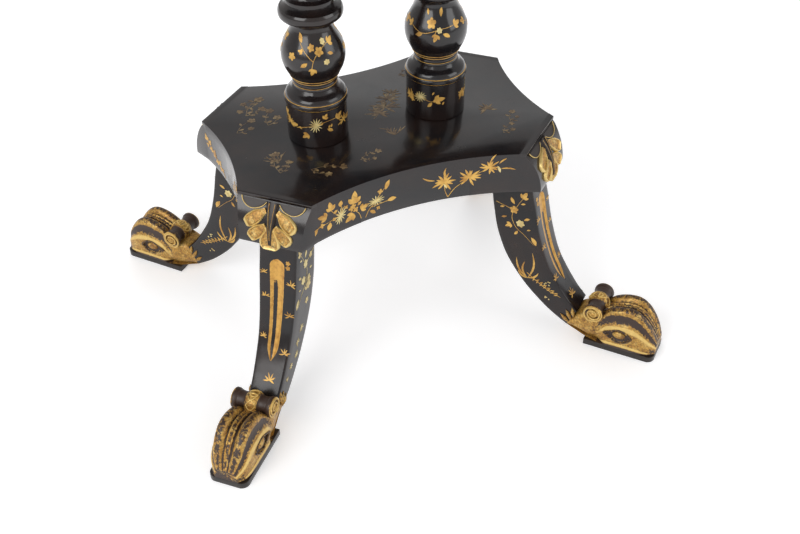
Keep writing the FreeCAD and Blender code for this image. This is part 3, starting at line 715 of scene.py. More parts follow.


# leg lacquer, with the flute's gilding where the gild attribute is set; where the attribute is low down one
# side of the flute, the bare lacquer is painted shadow
def legMaterial():
    w = Wires("legLacquer")
    attribute = w.add("ShaderNodeAttribute", attribute_name="gild")
    patches = w.noise(300, 6, 0.72)
    amount = w.math("ADD", attribute.outputs["Fac"],
                    w.math("MULTIPLY", w.math("SUBTRACT", patches, 0.5), 0.9))
    shown = w.ramp(amount, [(0.50, 0.0), (0.60, 1.0)])
    tone = w.ramp(w.noise(140, 5, 0.7), [(0.30, (0.38, 0.17, 0.035)), (0.55, (0.64, 0.36, 0.08))])
    low, high = lacquer["roughness"]
    haze = w.ramp(w.noise(35, 6, 0.65), [(0.3, low), (0.75, high)])
    w.set(Base_Color=w.mix(shown, lacquerBase(w), tone), Metallic=w.math("MULTIPLY", shown, 0.3),
          Roughness=w.math("ADD", haze, w.math("MULTIPLY", shown, 0.2)), Coat_Weight=0.1, Coat_Roughness=0.12,
          Specular_IOR_Level=0.34)
    scratches = w.noise(420, 3, 0.5, (1.0, 0.12, 0.5))
    w.bump(w.math("ADD", w.math("MULTIPLY", scratches, 0.35), w.noise(150, 2, 0.5)), lacquer["scratches"],
           0.0006)
    return w.material


legFinish = legMaterial()
makeLegs()
print("legs made")


column = {
    "sides": 96,
    "foot": [(0.0, 33.2), (0.6, 34.0), (2.0, 34.4), (22.0, 34.2), (43.0, 34.0), (46.6, 34.0), (47.0, 33.2),
             (47.6, 33.2), (48.0, 35.0), (49.2, 35.7), (52.2, 35.7), (53.4, 35.0), (53.8, 34.4),
             (55.4, 34.2), (57.6, 33.4), (59.6, 31.8), (61.6, 29.0), (63.8, 26.6), (66.4, 25.3),
             (67.0, 24.6), (69.4, 24.3), (70.0, 24.8), (71.6, 25.3), (73.4, 24.9), (74.0, 24.3),
             (75.8, 24.3), (76.4, 25.6), (77.4, 26.2), (79.8, 27.6), (82.0, 28.8), (86.6, 31.1),
             (90.6, 33.0), (94.9, 34.3), (99.0, 35.2), (103.0, 35.5), (107.0, 35.4), (111.0, 34.9),
             (115.4, 33.6), (119.7, 31.8), (123.4, 29.9), (127.2, 27.8), (131.2, 25.5), (135.2, 23.7),
             (138.4, 22.9), (141.0, 22.8), (143.4, 23.6), (145.4, 25.6), (147.0, 28.6), (148.0, 31.2),
             (148.6, 31.4), (149.2, 33.4), (150.6, 34.6), (153.0, 35.2), (156.0, 35.2), (158.6, 34.6),
             (160.4, 33.4), (161.0, 31.6), (162.0, 30.0), (163.4, 28.2), (165.0, 26.9), (165.6, 26.4),
             (166.4, 27.2), (168.6, 27.6), (170.8, 27.2), (171.6, 26.0), (172.4, 24.4), (174.0, 22.9),
             (176.0, 21.9)],
    "shaft": [(0.08, 21.6), (0.18, 22.6), (0.3, 24.2), (0.42, 24.4), (0.55, 23.4), (0.68, 21.9), (0.8, 20.4),
              (0.9, 19.0), (0.97, 18.4)],
    "head": [(66.6, 18.5), (65.6, 19.4), (64.6, 21.6), (62.0, 24.0), (58.0, 24.7), (54.0, 24.0), (51.6, 21.6),
             (50.8, 19.7), (49.0, 19.2), (46.0, 19.2), (42.0, 20.0), (38.0, 21.4), (34.0, 23.3), (30.0, 25.8),
             (26.6, 28.4), (24.0, 30.4), (23.2, 30.6), (22.4, 33.2), (20.6, 34.4), (18.0, 34.9), (14.0, 34.9),
             (11.4, 34.2), (9.8, 33.0), (9.2, 31.2), (6.0, 30.8), (0.8, 30.6), (0.1, 29.8)],
    "giltLines": [(47.3, 33.6, 0.5), (53.6, 34.4, 0.55), (69.7, 24.75, 0.3), (75.6, 24.7, 0.5),
                  (79.6, 27.4, 0.45)],
}
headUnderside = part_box("head_block")[0].z / mm


def columnProfile():
    base = plinth["top"]
    span = headUnderside - 66.6 - (base + 176.0)
    points = [(r, base + h) for h, r in column["foot"]]
    points += [(r, base + 176.0 + share * span) for share, r in column["shaft"]]
    points += [(r, headUnderside - drop) for drop, r in column["head"]]
    return points


def columnRadius(z):
    profile = columnProfile()
    for (r1, z1), (r2, z2) in zip(profile, profile[1:]):
        if z1 <= z <= z2:
            return r1 + (r2 - r1) * (z - z1) / max(0.001, z2 - z1)
    return profile[-1][0]


# turned by hand: a ring drawn up the lathe profile
def makeColumn(side, word):
    profile = columnProfile()
    deselectAll()
    radius, height = profile[0]
    bpy.ops.mesh.primitive_circle_add(vertices=column["sides"], radius=radius * mm, fill_type="NGON",
                                      location=(side * columnX * mm, 0, height * mm))
    piece = bpy.context.object
    bpy.ops.object.transform_apply(location=True, rotation=True, scale=True)
    bpy.ops.object.mode_set(mode="EDIT")
    centre = (side * columnX * mm, 0, 0)
    for (r1, z1), (r2, z2) in zip(profile, profile[1:]):
        bpy.ops.mesh.extrude_region_move(TRANSFORM_OT_translate={"value": (0, 0, (z2 - z1) * mm)})
        bpy.ops.transform.resize(value=(r2 / r1, r2 / r1, 1), center_override=(centre[0], 0, z2 * mm))
    bpy.ops.object.mode_set(mode="OBJECT")
    piece.name = "column" + word
    piece.data.name = piece.name
    faceOutwards(piece)
    return finishPiece(piece, "base", [blackLacquer], ["column_" + word.lower()], 28)


def makeColumnLines(side, word):
    rings = []
    for height, radius, thickness in column["giltLines"]:
        deselectAll()
        bpy.ops.mesh.primitive_torus_add(major_radius=radius * mm, minor_radius=thickness * mm,
                                         major_segments=96, minor_segments=8,
                                         location=(side * columnX * mm, 0, (plinth["top"] + height) * mm))
        bpy.ops.object.transform_apply(location=True, rotation=True, scale=True)
        rings.append(bpy.context.object)
    lines = joinPieces("columnLines" + word, rings)
    finishPiece(lines, "base", [leafGilt], [], 60)


for side, word in ((-1, "Left"), (1, "Right")):
    makeColumn(side, word)
    makeColumnLines(side, word)
print("columns made")


def newSpray():
    return {"verts": [], "faces": [], "layers": []}


def ribbon(spray, path, widths):
    start = len(spray["verts"])
    layer = spray["layers"][-1] + 1 if spray["layers"] else 0
    for i, (x, y) in enumerate(path):
        ax, ay = path[max(i - 1, 0)]
        bx, by = path[min(i + 1, len(path) - 1)]
        length = math.hypot(bx - ax, by - ay) or 1.0
        nx, ny = -(by - ay) / length, (bx - ax) / length
        for k in (-0.5, 0, 0.5):
            spray["verts"].append((x + nx * k * widths[i], y + ny * k * widths[i]))
            spray["layers"].append(layer)
    for i in range(len(path) - 1):
        a = start + 3 * i
        spray["faces"] += [(a, a + 3, a + 4, a + 1), (a + 1, a + 4, a + 5, a + 2)]


# points along a line of a length and angle, its middle pushed sideways by bend
def bowedLine(x, y, angle, length, bend, steps):
    a = math.radians(angle)
    points = []
    for i in range(steps + 1):
        t = i / steps
        bow = bend * length * math.sin(math.pi * t)
        points.append((x + math.cos(a) * length * t - math.sin(a) * bow,
                       y + math.sin(a) * length * t + math.cos(a) * bow))
    return points


# a leaf from (x, y), pointed at both ends, its middle bowed sideways by bend
def leaf(spray, x, y, angle, length, width, bend=0.0, blunt=0.8, steps=6):
    widths = []
    for i in range(steps + 1):
        t = min(0.995, max(0.005, i / steps))
        widths.append(max(0.18, width * math.sin(math.pi * t) ** blunt))
    ribbon(spray, bowedLine(x, y, angle, length, bend, steps), widths)


def petal(spray, x, y, angle, length, width, bend=0.0, blunt=0.9):
    a = math.radians(angle)
    leaf(spray, x - math.cos(a) * length / 2, y - math.sin(a) * length / 2, angle, length, width, bend, blunt)


def lobedLeaf(spray, x, y, angle, size):
    a = math.radians(angle)
    x, y = x - math.cos(a) * size * 0.4, y - math.sin(a) * size * 0.4
    leaf(spray, x, y, angle, size, size * 0.46, 0, 0.8)
    for turn in (-46, 46):
        leaf(spray, x, y, angle + turn, size * 0.66, size * 0.36, 0.04 * (1 if turn > 0 else -1), 0.8)


def blossom(spray, x, y, size, petals=5, turn=0.0):
    for k in range(petals):
        angle = turn + 360 * k / petals
        a = math.radians(angle)
        leaf(spray, x + math.cos(a) * size * 0.12, y + math.sin(a) * size * 0.12, angle, size * 0.88,
             size * 0.72, 0, 0.45)
    leaf(spray, x - size * 0.12, y, 0, size * 0.24, size * 0.22, 0, 0.4, 4)


def daisy(spray, x, y, size, petals=12, turn=0.0, squash=0.6):
    for k in range(petals):
        a = 2 * math.pi * k / petals
        dx, dy = math.cos(a), math.sin(a) * squash
        t = math.radians(turn)
        direction = (dx * math.cos(t) - dy * math.sin(t), dx * math.sin(t) + dy * math.cos(t))
        length = math.hypot(*direction) * size
        angle = math.degrees(math.atan2(direction[1], direction[0]))
        leaf(spray, x, y, angle, length, size * 0.12, 0, 0.7, 5)


def stem(spray, points, width=0.7):
    path = []
    for i in range(len(points) * 5 - 4):
        path.append(tuple(throughPoints(points, i / (len(points) * 5 - 5))))
    ribbon(spray, path, [width * (1 - 0.5 * i / len(path)) for i in range(len(path))])


def bamboo(spray, rng, x, y, angle, size, blades=9, spread=300):
    for k in range(blades):
        turn = angle - spread / 2 + spread * (k + rng.uniform(-0.3, 0.3)) / (blades - 1)
        leaf(spray, x, y, turn, size * rng.uniform(0.7, 1.1), size * 0.19, rng.uniform(-0.05, 0.05), 0.75)


def berries(spray, rng, x, y, count, spread, size):
    for _ in range(count):
        bx, by = x + rng.uniform(-spread, spread), y + rng.uniform(-spread, spread)
        leaf(spray, bx - size / 2, by, 0, size, size, 0, 0.5, 4)


def grass(spray, rng, x, y, angle, size, blades=7, spread=110):
    for k in range(blades):
        turn = angle - spread / 2 + spread * (k + rng.uniform(-0.3, 0.3)) / (blades - 1)
        leaf(spray, x, y, turn, size * rng.uniform(0.6, 1.1), size * 0.075, rng.uniform(-0.16, 0.16), 0.6, 8)


# a flowering twig: a bowed stem with leaves by turns and a bloom at the end
def twig(spray, rng, x, y, angle, length, size, bloom=True, bend=0.12):
    points = bowedLine(x, y, angle, length, bend, 3)
    stem(spray, points, size * 0.10)
    for k in range(max(2, int(length / size))):
        t = (k + 0.6) / max(2, int(length / size))
        px, py = throughPoints(points, min(1, t))
        side = 1 if k % 2 else -1
        leaf(spray, px, py, angle + side * rng.uniform(35, 65), size * rng.uniform(0.7, 1.1),
             size * rng.uniform(0.34, 0.5), side * 0.08, 0.7)
        if rng.random() < 0.6:
            leaf(spray, px, py, angle - side * rng.uniform(40, 80), size * 0.45, size * 0.24, 0, 0.6)
    if bloom:
        px, py = points[-1]
        blossom(spray, px, py, size * rng.uniform(0.55, 0.75), 5, rng.uniform(0, 70))


def laySpray(name, spray, place, material, body="base", thickness=0.34):
    verts = [place(x, y) for x, y in spray["verts"]]
    piece = meshPiece(name, verts, spray["faces"])
    normals = [vertex.normal.copy() for vertex in piece.data.vertices]
    for vertex, normal, layer in zip(piece.data.vertices, normals, spray["layers"]):
        vertex.co += normal * (layer % 7 - 3) * 0.01 * mm
    applyModifier(piece, "SOLIDIFY", thickness=thickness * mm, offset=0)
    faceOutwards(piece, False)
    return finishPiece(piece, body, [material], [], 60)


lift = 0.06        # sprays stand this far off the lacquer at their middle, in millimetres


def hollowSide(halfChord, sweep, reach, direction):
    radius = (halfChord ** 2 + sweep ** 2) / (2 * sweep)
    centre = reach - sweep + radius

    def place(x, z):
        out = centre - math.sqrt(radius ** 2 - x * x)
        normal = Vector((-x, centre - out, 0)).normalized()
        point = Vector((x, out, 0)) + normal * lift
        height = plinth["underside"] + z
        if direction == "front":
            return Vector((point.x, -point.y, height)) * mm
        if direction == "back":
            return Vector((-point.x, point.y, height)) * mm
        if direction == "left":
            return Vector((-point.y, -point.x, height)) * mm
        return Vector((point.y, point.x, height)) * mm
    return place


def longWall(direction):
    return hollowSide(plinth["cantX"], plinth["longSweep"], plinth["halfWidth"], direction)


def shortWall(direction):
    return hollowSide(plinth["cantY"], plinth["shortSweep"], plinth["halfLength"], direction)


def onPlatform(x, y):
    return Vector((x, y, plinth["top"] + lift)) * mm


def roundColumn(side, facing):
    def place(x, z):
        radius = columnRadius(plinth["top"] + z) + lift
        angle = math.radians(facing) + x / 34.0
        return Vector((side * columnX + radius * math.cos(angle), radius * math.sin(angle),
                       plinth["top"] + z)) * mm
    return place


def legSide(corner, side):
    def place(s, z):
        return cornerPoint(corner, s, side * (legHalf(z) + lift), z)
    return place


def legFront(corner):
    def place(v, z):
        s, height = legOuter(legHeightToStation(z))
        s2, z2 = legOuter(min(1, legHeightToStation(z) + 0.01))
        normal = Vector((height - z2, s2 - s)).normalized()
        return cornerPoint(corner, s + normal.x * lift, v, height + normal.y * lift)
    return place


# closed shells on the corner's canted face; place(u, w) gives v, drop, stand and gild
def shell(name, corner, place, across_=9, along=14, sunk=-0.6):
    verts, faces, gild = [], [], []
    for layer in (0, 1):
        for i in range(along + 1):
            for j in range(across_ + 1):
                v, drop, stand, gold = place(i / along, 2 * j / across_ - 1)
                verts.append(faceOfFlare(corner, v, drop, sunk if layer else stand))
                gild.append(gold)
    row = across_ + 1
    second = row * (along + 1)
    for i in range(along):
        for j in range(across_):
            a = i * row + j
            faces.append((a, a + 1, a + row + 1, a + row))
            faces.append((second + a, second + a + row, second + a + row + 1, second + a + 1))
    rim = [j for j in range(row)] + [i * row + across_ for i in range(1, along + 1)]
    rim += [along * row + j for j in range(across_ - 1, -1, -1)] + [i * row for i in range(along - 1, 0, -1)]
    for k, a in enumerate(rim):
        b = rim[(k + 1) % len(rim)]
        faces.append((a, b, second + b, second + a))
    piece = meshPiece(name, verts, faces)
    writeGild(piece, gild)
    faceOutwards(piece)
    return piece


def faceOfFlare(corner, v, drop, stand):
    z = plinth["top"] - drop
    slope = flareAt(z - 0.5) - flareAt(z + 0.5)
    normal = Vector((1, slope)).normalized()
    return cornerPoint(corner, flareAt(z) + normal.x * stand, v, z + normal.y * stand)


carvedLeaf = {
    # where each lobe starts (across, below the top), its droop, length, half width and rise
    "lobes": [(7, 13, 216, 28, 7.2, 3.4), (5.5, 28, 221, 25, 7.4, 3.3), (0, 31, -90, 25, 12.2, 3.8)],
    "scallop": [(37.5, 3.5), (35.5, 8), (30, 12), (23, 13.4), (16, 12), (11, 9.5), (7.5, 6.2)],
    "stem": [(4.4, 5.6), (4.0, 12), (3.2, 20), (2.4, 28), (1.6, 36), (0.9, 49)],
    "goldWire": 0.5,
}


# a spoon-shaped lobe: narrow where it springs, broad and blunt at its end, hollow inside a thin rim
def lobe(name, corner, x, drop, angle, length, half, rise, vein):
    a = math.radians(angle)

    def place(u, w):
        spread = 0.42 + 0.58 * smoothStep(0, 0.5, u)
        blunt = max(0.0, 1 - (max(0.0, u - 0.66) / 0.34) ** 2.4) ** 0.5
        width = half * spread * max(0.06, blunt)
        v = x + math.cos(a) * length * u - math.sin(a) * width * w
        d = drop - math.sin(a) * length * u - math.cos(a) * width * w
        edge = max(abs(w), 1 - (1 - u) * 1.9)
        stand = rise * smoothStep(1.04, 0.86, edge)
        stand -= rise * 0.62 * smoothStep(0.84, 0.62, edge) * smoothStep(0.0, 0.3, u)
        stand = 0.3 + stand * (0.45 + 0.55 * smoothStep(0, 0.4, u))
        gold = 0.62 + 0.38 * smoothStep(0.68, 0.80, edge)
        if vein:
            crease = smoothStep(0.26, 0.0, abs(w)) * smoothStep(0.86, 0.6, u)
            stand += 0.7 * crease
            gold -= 0.5 * smoothStep(0.3, 0.8, crease)
        return v, d, stand, gold
    return shell(name, corner, place, 22, 24)


def makeCarvedLeaf(corner):
    c = carvedLeaf
    parts = []
    for x, drop, angle, length, half, rise in c["lobes"]:
        if angle == -90:
            parts.append(lobe("lobe", corner, x, drop, angle, length, half, rise, True))
        else:
            parts.append(lobe("lobe", corner, -x, drop, angle, length, half, rise, False))
            parts.append(lobe("lobe", corner, x, drop, 180 - angle, length, half, rise, False))

    def body(u, w):
        width = 8.0 - 4.5 * u
        return w * width, 5.2 + 31 * u, 2.4 * max(0.0, 1 - w * w) ** 0.5 + 0.2, 0.08
    parts.append(shell("body", corner, body, 10, 8))
    for side in (-1, 1):
        def hollow(u, w, side=side):
            v, d = throughPoints(c["scallop"], u)
            reach = (w + 1) / 2
            return side * v, 5.0 + (d - 5.0) * reach if d > 5.0 else d, 0.35 + 0.5 * reach ** 4, 0.0
        parts.append(shell("hollow", corner, hollow, 8, 18, -0.3))
        wire = [faceOfFlare(corner, side * v, d, 1.0) for v, d in
                (throughPoints(c["scallop"], i / 28) for i in range(29))]
        parts.append(roundBar("wire", wire, c["goldWire"] * mm))
        setGild(parts[-1], 0.9)
        curve = [throughPoints(c["stem"], i / 18) for i in range(19)]
        ridge = [faceOfFlare(corner, side * v, d, 2.2) for v, d in curve]
        parts.append(roundBar("ridge", ridge, lambda t: (1.7 - 0.9 * t) * mm))
        setGild(parts[-1], 0.14)
        line = [faceOfFlare(corner, side * (v - 1.0), d + 1, 3.5 - 0.02 * d) for v, d in curve[:17]]
        parts.append(roundBar("line", line, lambda t: (0.42 - 0.22 * t) * mm))
        setGild(parts[-1], 0.7)
    piece = joinPieces("leaf" + pieceWord(corner), parts)
    finishPiece(piece, "base", [carvedGilt], ["leaf_" + corner], 50)


for corner in corners:
    makeCarvedLeaf(corner)
print("carved leaves made")


foot = {
    "crown": [(58, 24), (64, 32), (70.5, 41), (78, 45), (86, 47), (94, 49), (100, 52.5), (108, 57.5),
              (116, 61.8), (124, 64.8), (132, 66.4), (138, 66.6), (144, 64.8), (150, 61), (156, 55),
              (162, 46.5), (167, 37.5), (170.5, 29.5), (172.3, 23)],
    "belly": [(58, 17), (66, 14), (75, 11), (84, 8.2)],
    "width": [(58, 17.0), (70, 18.0), (84, 20.0), (95, 23.0), (105, 24.6), (125, 24.9), (145, 24.6),
              (155, 24.0), (163, 22.2), (169, 18.5), (172.3, 13.5)],
    # half section from the crown's middle down to the sole: share of half width, share of height, gilding
    "section": [(0.0, 0.90, 0.42), (0.05, 0.905, 0.5), (0.10, 0.935, 0.62), (0.14, 0.93, 0.5),
                (0.185, 0.89, 0.3), (0.23, 0.885, 0.35), (0.28, 0.92, 0.62), (0.33, 0.955, 0.70),
                (0.40, 0.985, 0.55), (0.48, 1.0, 0.42), (0.57, 1.0, 0.42), (0.66, 0.985, 0.48),
                (0.735, 0.95, 0.62), (0.775, 0.90, 0.70), (0.785, 0.84, 0.25), (0.79, 0.77, 0.22),
                (0.82, 0.70, 0.34), (0.885, 0.64, 0.62), (0.94, 0.59, 0.95), (0.975, 0.53, 0.95),
                (0.965, 0.46, 0.74), (0.965, 0.38, 0.74), (0.965, 0.28, 0.74), (0.96, 0.20, 0.74),
                (0.955, 0.155, 0.6), (0.985, 0.12, 1.0), (1.0, 0.085, 0.95), (0.985, 0.05, 0.15),
                (0.96, 0.0, 0.1)],
    "eye": {"from": 108.0, "to": 143.0, "z": 28.5, "half": 9.6, "depth": 2.2},
    "roll": {"s": 92.0, "z": 52.5},
    "volute": {"s": 92.0, "z": 52.0, "radius": 12.3, "inner": 18.5, "outer": 26.8},
    "stations": 84, "samples": 3,
}


def readCurve(points, s):
    for (s1, a), (s2, b) in zip(points, points[1:]):
        if s <= s2:
            return a + (b - a) * max(0.0, s - s1) / (s2 - s1)
    return points[-1][1]


def smoothCurve(points, s):
    return (readCurve(points, s - 2.0) + 2 * readCurve(points, s) + readCurve(points, s + 2.0)) / 4


# half height of the eye's teardrop outline, pointed towards the heel
def eyeHalf(s):
    eye = foot["eye"]
    share = (s - eye["from"]) / (eye["to"] - eye["from"])
    if share <= 0 or share >= 1:
        return 0.0
    return eye["half"] * math.sin(math.pi * share ** 1.25) ** 0.8


def makeFoot():
    c = foot
    first, last = c["crown"][0][0], c["crown"][-1][0]
    steps = (len(c["section"]) - 1) * c["samples"]
    rings, gild = [], []
    for i in range(c["stations"] + 1):
        t = i / c["stations"]
        s = first + (last - first) * (t if t < 0.8 else 0.8 + 0.2 * math.sin((t - 0.8) / 0.2 * math.pi / 2))
        crown = smoothCurve(c["crown"], s) if s < last else c["crown"][-1][1]
        belly = smoothCurve(c["belly"], s) if s < 84 else 8.0
        half = smoothCurve(c["width"], s) if s < last else c["width"][-1][1]
        carved = smoothStep(90, 112, s)
        nose = smoothStep(158, 172, s)
        right, golds = [], []
        for k in range(steps + 1):
            a, h, g = throughPoints(c["section"], k / steps)
            turn = math.pi * k / steps
            plainA = min(1.0, math.sin(turn) ** 0.55 if 0 < turn < math.pi else 0.0)
            plainH = 0.5 + 0.5 * math.copysign(abs(math.cos(turn)) ** 0.7, math.cos(turn))
            if k == steps:
                plainA = 0.9
            a = plainA + (a - plainA) * carved
            h = plainH + (h - plainH) * carved
            g = 0.7 + (g - 0.7) * carved
            v, z = a * half, belly + h * (crown - belly)
            reach = eyeHalf(s)
            if reach > 0 and k > steps * 0.55:
                d = abs(z - c["eye"]["z"]) / max(0.5, reach)
                inside = smoothStep(1.0, 0.72, d)
                v -= c["eye"]["depth"] * inside * smoothStep(0, 3.0, reach)
                # the eye's floor keeps little gilding: its own dark colour, and painted shade so the sunk eye
                # reads as hollow
                if inside > 0.3:
                    g = 0.25
            if nose > 0.5 and h < 0.35:
                g = min(g, 0.45)
            right.append((v, z))
            golds.append(max(0.0, min(1.0, g)))
        ring = [cornerPoint("back_right", s, v, z) for v, z in right]
        ring += [cornerPoint("back_right", s, -v, z) for v, z in right[:0:-1]]
        rings.append(ring)
        gild += golds + golds[:0:-1]
    count = len(rings[0])
    body = meshPiece("footBody", [p for ring in rings for p in ring], ringFaces(len(rings), count))
    writeGild(body, gild)
    faceOutwards(body)
    parts = [body]
    parts += makeScroll()
    eye = c["eye"]
    for side in (-1, 1):
        outline = []
        for k in range(48):
            turn = 2 * math.pi * k / 48
            share = 0.5 - 0.5 * math.cos(turn)
            s = eye["from"] + (eye["to"] - eye["from"]) * share
            z = eye["z"] + math.copysign(eyeHalf(s), math.sin(turn))
            outline.append(cornerPoint("back_right", s, side * (smoothCurve(c["width"], s) * 0.972), z))
        parts.append(roundBar("eyeRim", outline, 1.15 * mm, 8, True))
        setGild(parts[-1], 0.42)
        deselectAll()
        centre = cornerPoint("back_right", 127.0, side * 22.4, 29.0)
        bpy.ops.mesh.primitive_uv_sphere_add(segments=24, ring_count=12, radius=1, location=centre)
        pearl = bpy.context.object
        turnTo = Matrix((outward, across, Vector((0, 0, 1)))).transposed()
        size = Matrix.Diagonal((0.008, 0.0026, 0.0052, 1))
        pearl.matrix_world = Matrix.Translation(centre) @ turnTo.to_4x4() @ size
        makeActive(pearl)
        bpy.ops.object.transform_apply(location=True, rotation=True, scale=True)
        setGild(pearl, 0.66)
        parts.append(pearl)
    return joinPieces("foot", parts)


# turned across the foot: profile gives place across, radius and gilding
def turnedAcross(name, s, z, profile, sides=36):
    verts, gild = [], []
    for v, radius, gold in profile:
        for k in range(sides):
            turn = 2 * math.pi * k / sides
            verts.append(cornerPoint("back_right", s + radius * math.cos(turn), v,
                                     z + radius * math.sin(turn)))
            gild.append(gold)
    piece = meshPiece(name, verts, ringFaces(len(profile), sides))
    writeGild(piece, gild)
    faceOutwards(piece)
    return piece


def makeScroll():
    roll, volute = foot["roll"], foot["volute"]
    half = [(0, 13.0, 0.62), (2, 12.8, 0.62), (5, 12.3, 0.62), (7.4, 11.4, 0.55), (8.2, 10.4, 0.2),
            (9.5, 10.0, 0.1), (13, 9.8, 0.12), (16, 10.2, 0.2), (18.5, 10.8, 0.3), (19.4, 10.2, 0.3),
            (19.8, 8.6, 0.3), (19.9, 6, 0.2), (19.6, 0.4, 0.1)]
    profile = [(-v, r, g) for v, r, g in half[:0:-1]] + half
    parts = [turnedAcross("roll", roll["s"], roll["z"], profile)]
    rng = random.Random(5)
    for k in range(9):
        start = math.radians(rng.uniform(20, 150))
        bow = rng.uniform(-0.5, 0.5)
        strand = []
        for i in range(13):
            u = i / 12
            v = (-5.6 + 11.2 * u) * (1 if k % 2 else -1)
            turn = start + bow * (u - 0.5) + 0.5 * math.sin(u * math.pi) * (k % 3 - 1)
            radius = 13.0 - 0.03 * v * v + 0.15
            strand.append(cornerPoint("back_right", roll["s"] + radius * math.cos(turn), v,
                                      roll["z"] + radius * math.sin(turn)))
        parts.append(roundBar("strand", strand, lambda t: (0.35 + 0.55 * math.sin(math.pi * t)) * mm))
        setGild(parts[-1], 1.0)
    for side in (-1, 1):
        r, inner, outer = volute["radius"], volute["inner"], volute["outer"]
        profile = [(side * v, radius, gold) for v, radius, gold in (
            (inner - 6, 8.0, 0.1), (inner, r * 0.93, 0.1), (inner + 2, r, 0.25), (outer - 3.4, r, 0.4),
            (outer - 2.4, r * 0.96, 0.9), (outer - 2.2, r * 0.86, 0.9), (outer - 3.6, r * 0.72, 0.25),
            (outer - 3.4, r * 0.5, 0.7), (outer - 2.0, r * 0.3, 0.75), (outer - 1.4, 0.3, 0.8))]
        parts.append(turnedAcross("volute", volute["s"], volute["z"], profile, 40))
        curl = []
        for i in range(61):
            t = i / 60
            turn = math.radians(250) - t * 4.4 * math.pi
            radius = r * (0.95 - 0.78 * t)
            curl.append(cornerPoint("back_right", volute["s"] + radius * math.cos(turn),
                                    side * (outer - 2.4 + 0.9 * t), volute["z"] + radius * math.sin(turn)))
        parts.append(roundBar("curl", curl, lambda t: (1.25 - 0.7 * t) * mm))
        setGild(parts[-1], 0.9)
        for s, z, angle, length in ((62, 32, 118, 17), (66, 38, 100, 14), (58, 26, 138, 15)):
            bar = []
            for i in range(11):
                u = i / 10
                a = math.radians(angle)
                ss, zz = s + math.cos(a) * length * (u - 0.3), z + math.sin(a) * length * (u - 0.3)
                bar.append(cornerPoint("back_right", ss, side * (legHalf(zz) + 0.4), zz))
            parts.append(roundBar("ankleLeaf", bar,
                                  lambda t: (0.3 + 2.2 * math.sin(math.pi * min(1, t + 0.05))) * mm))
            setGild(parts[-1], 0.62)
    return parts


footPattern = makeFoot()
for corner, (sx, sy) in corners.items():
    copy = mirrorCopy(footPattern, "foot" + pieceWord(corner), sx, sy)
    finishPiece(copy, "base", [footGilt], ["foot_" + corner], 50)
    sole = cleanCopy("sole_" + corner, "sole" + pieceWord(corner), 1.2, 1, 3)
    finishPiece(sole, "base", [ebonised, wornEdge], ["sole_" + corner])
bpy.data.objects.remove(footPattern)
print("feet made")


# the gilt sprays of the base
def wallSprays():
    front, pale = newSpray(), newSpray()
    for points in ([(-126, 13), (-118, 19), (-109, 19), (-97, 21), (-91, 21)],
                   [(-104, 36), (-99, 28), (-91, 22)],
                   [(-90, 35), (-89, 28), (-90, 22)],
                   [(-65.5, 6), (-68, 14), (-74, 22), (-73, 33)],
                   [(-60, 5), (-56, 13), (-47, 22), (-40, 31), (-33, 38)],
                   [(-52, 16), (-40, 17), (-28, 18)]):
        stem(front, points, 0.75)
    for x, z, angle, length, width in ((-126, 14, 218, 14, 6.6), (-106, 13.5, 250, 10, 6),
                                       (-90, 36.5, 80, 8, 5.4), (-79, 13, 215, 12, 6.4),
                                       (-51, 9, 320, 9, 4.6), (-27, 18, 5, 11, 5.6), (-32, 39, 68, 13, 5.2),
                                       (-67, 27, 40, 6, 3.6), (-97, 29, 30, 6, 3.4)):
        petal(front, x, z, angle, length, width, 0.04)
    for x, z, angle, size in ((-103, 38, 100, 12), (-113, 29, 160, 12), (-61.5, 20, 20, 11),
                              (-73, 36, 85, 16), (-79, 13, 215, 13)):
        lobedLeaf(front, x, z, angle, size)
    for x, z, size in ((-115, 19, 3.4), (-77, 24, 4), (-72, 21, 3.6), (-74.5, 26, 3.4), (-41, 33, 3.4),
                       (-84, 29, 2.8), (-44, 12, 2.6), (-99, 20, 2.6)):
        blossom(front, x, z, size, 4, x * 7)
    daisy(pale, -91, 21, 11, 13, 68, 0.62)
    daisy(pale, -46.5, 22, 10.5, 13, 12, 0.66)
    for x, z, size, blades, angle in ((35.6, 23.5, 14, 11, 90), (64.7, 25, 13.5, 12, 80),
                                      (87.5, 36, 12, 11, 60)):
        bamboo(front, random.Random(int(x)), x, z, angle, size, blades, 290)
    for x, z, angle, length in ((25, 28, 155, 16), (100, 33, -8, 16), (98, 40, 40, 10), (36, 31, 80, 12),
                                (88, 42, 60, 12)):
        leaf(front, x, z, angle, length, 2.0, 0.08, 0.8)
    petal(pale, 97.7, 32.5, -70, 10, 3.0, 0.05)
    petal(pale, 37, 18, -60, 8, 2.2, 0.05)
    stem(front, [(40.4, 2.8), (37, 12), (36, 22)], 0.9)
    stem(front, [(40.4, 2.8), (48, 13), (56, 19), (63, 24)], 0.8)
    stem(front, [(66, 26), (76, 30), (86, 35)], 0.5)
    laySpray("frontWallGilding", front, longWall("front"), leafGilt)
    laySpray("frontWallPaleGilding", pale, longWall("front"), paleGilt)


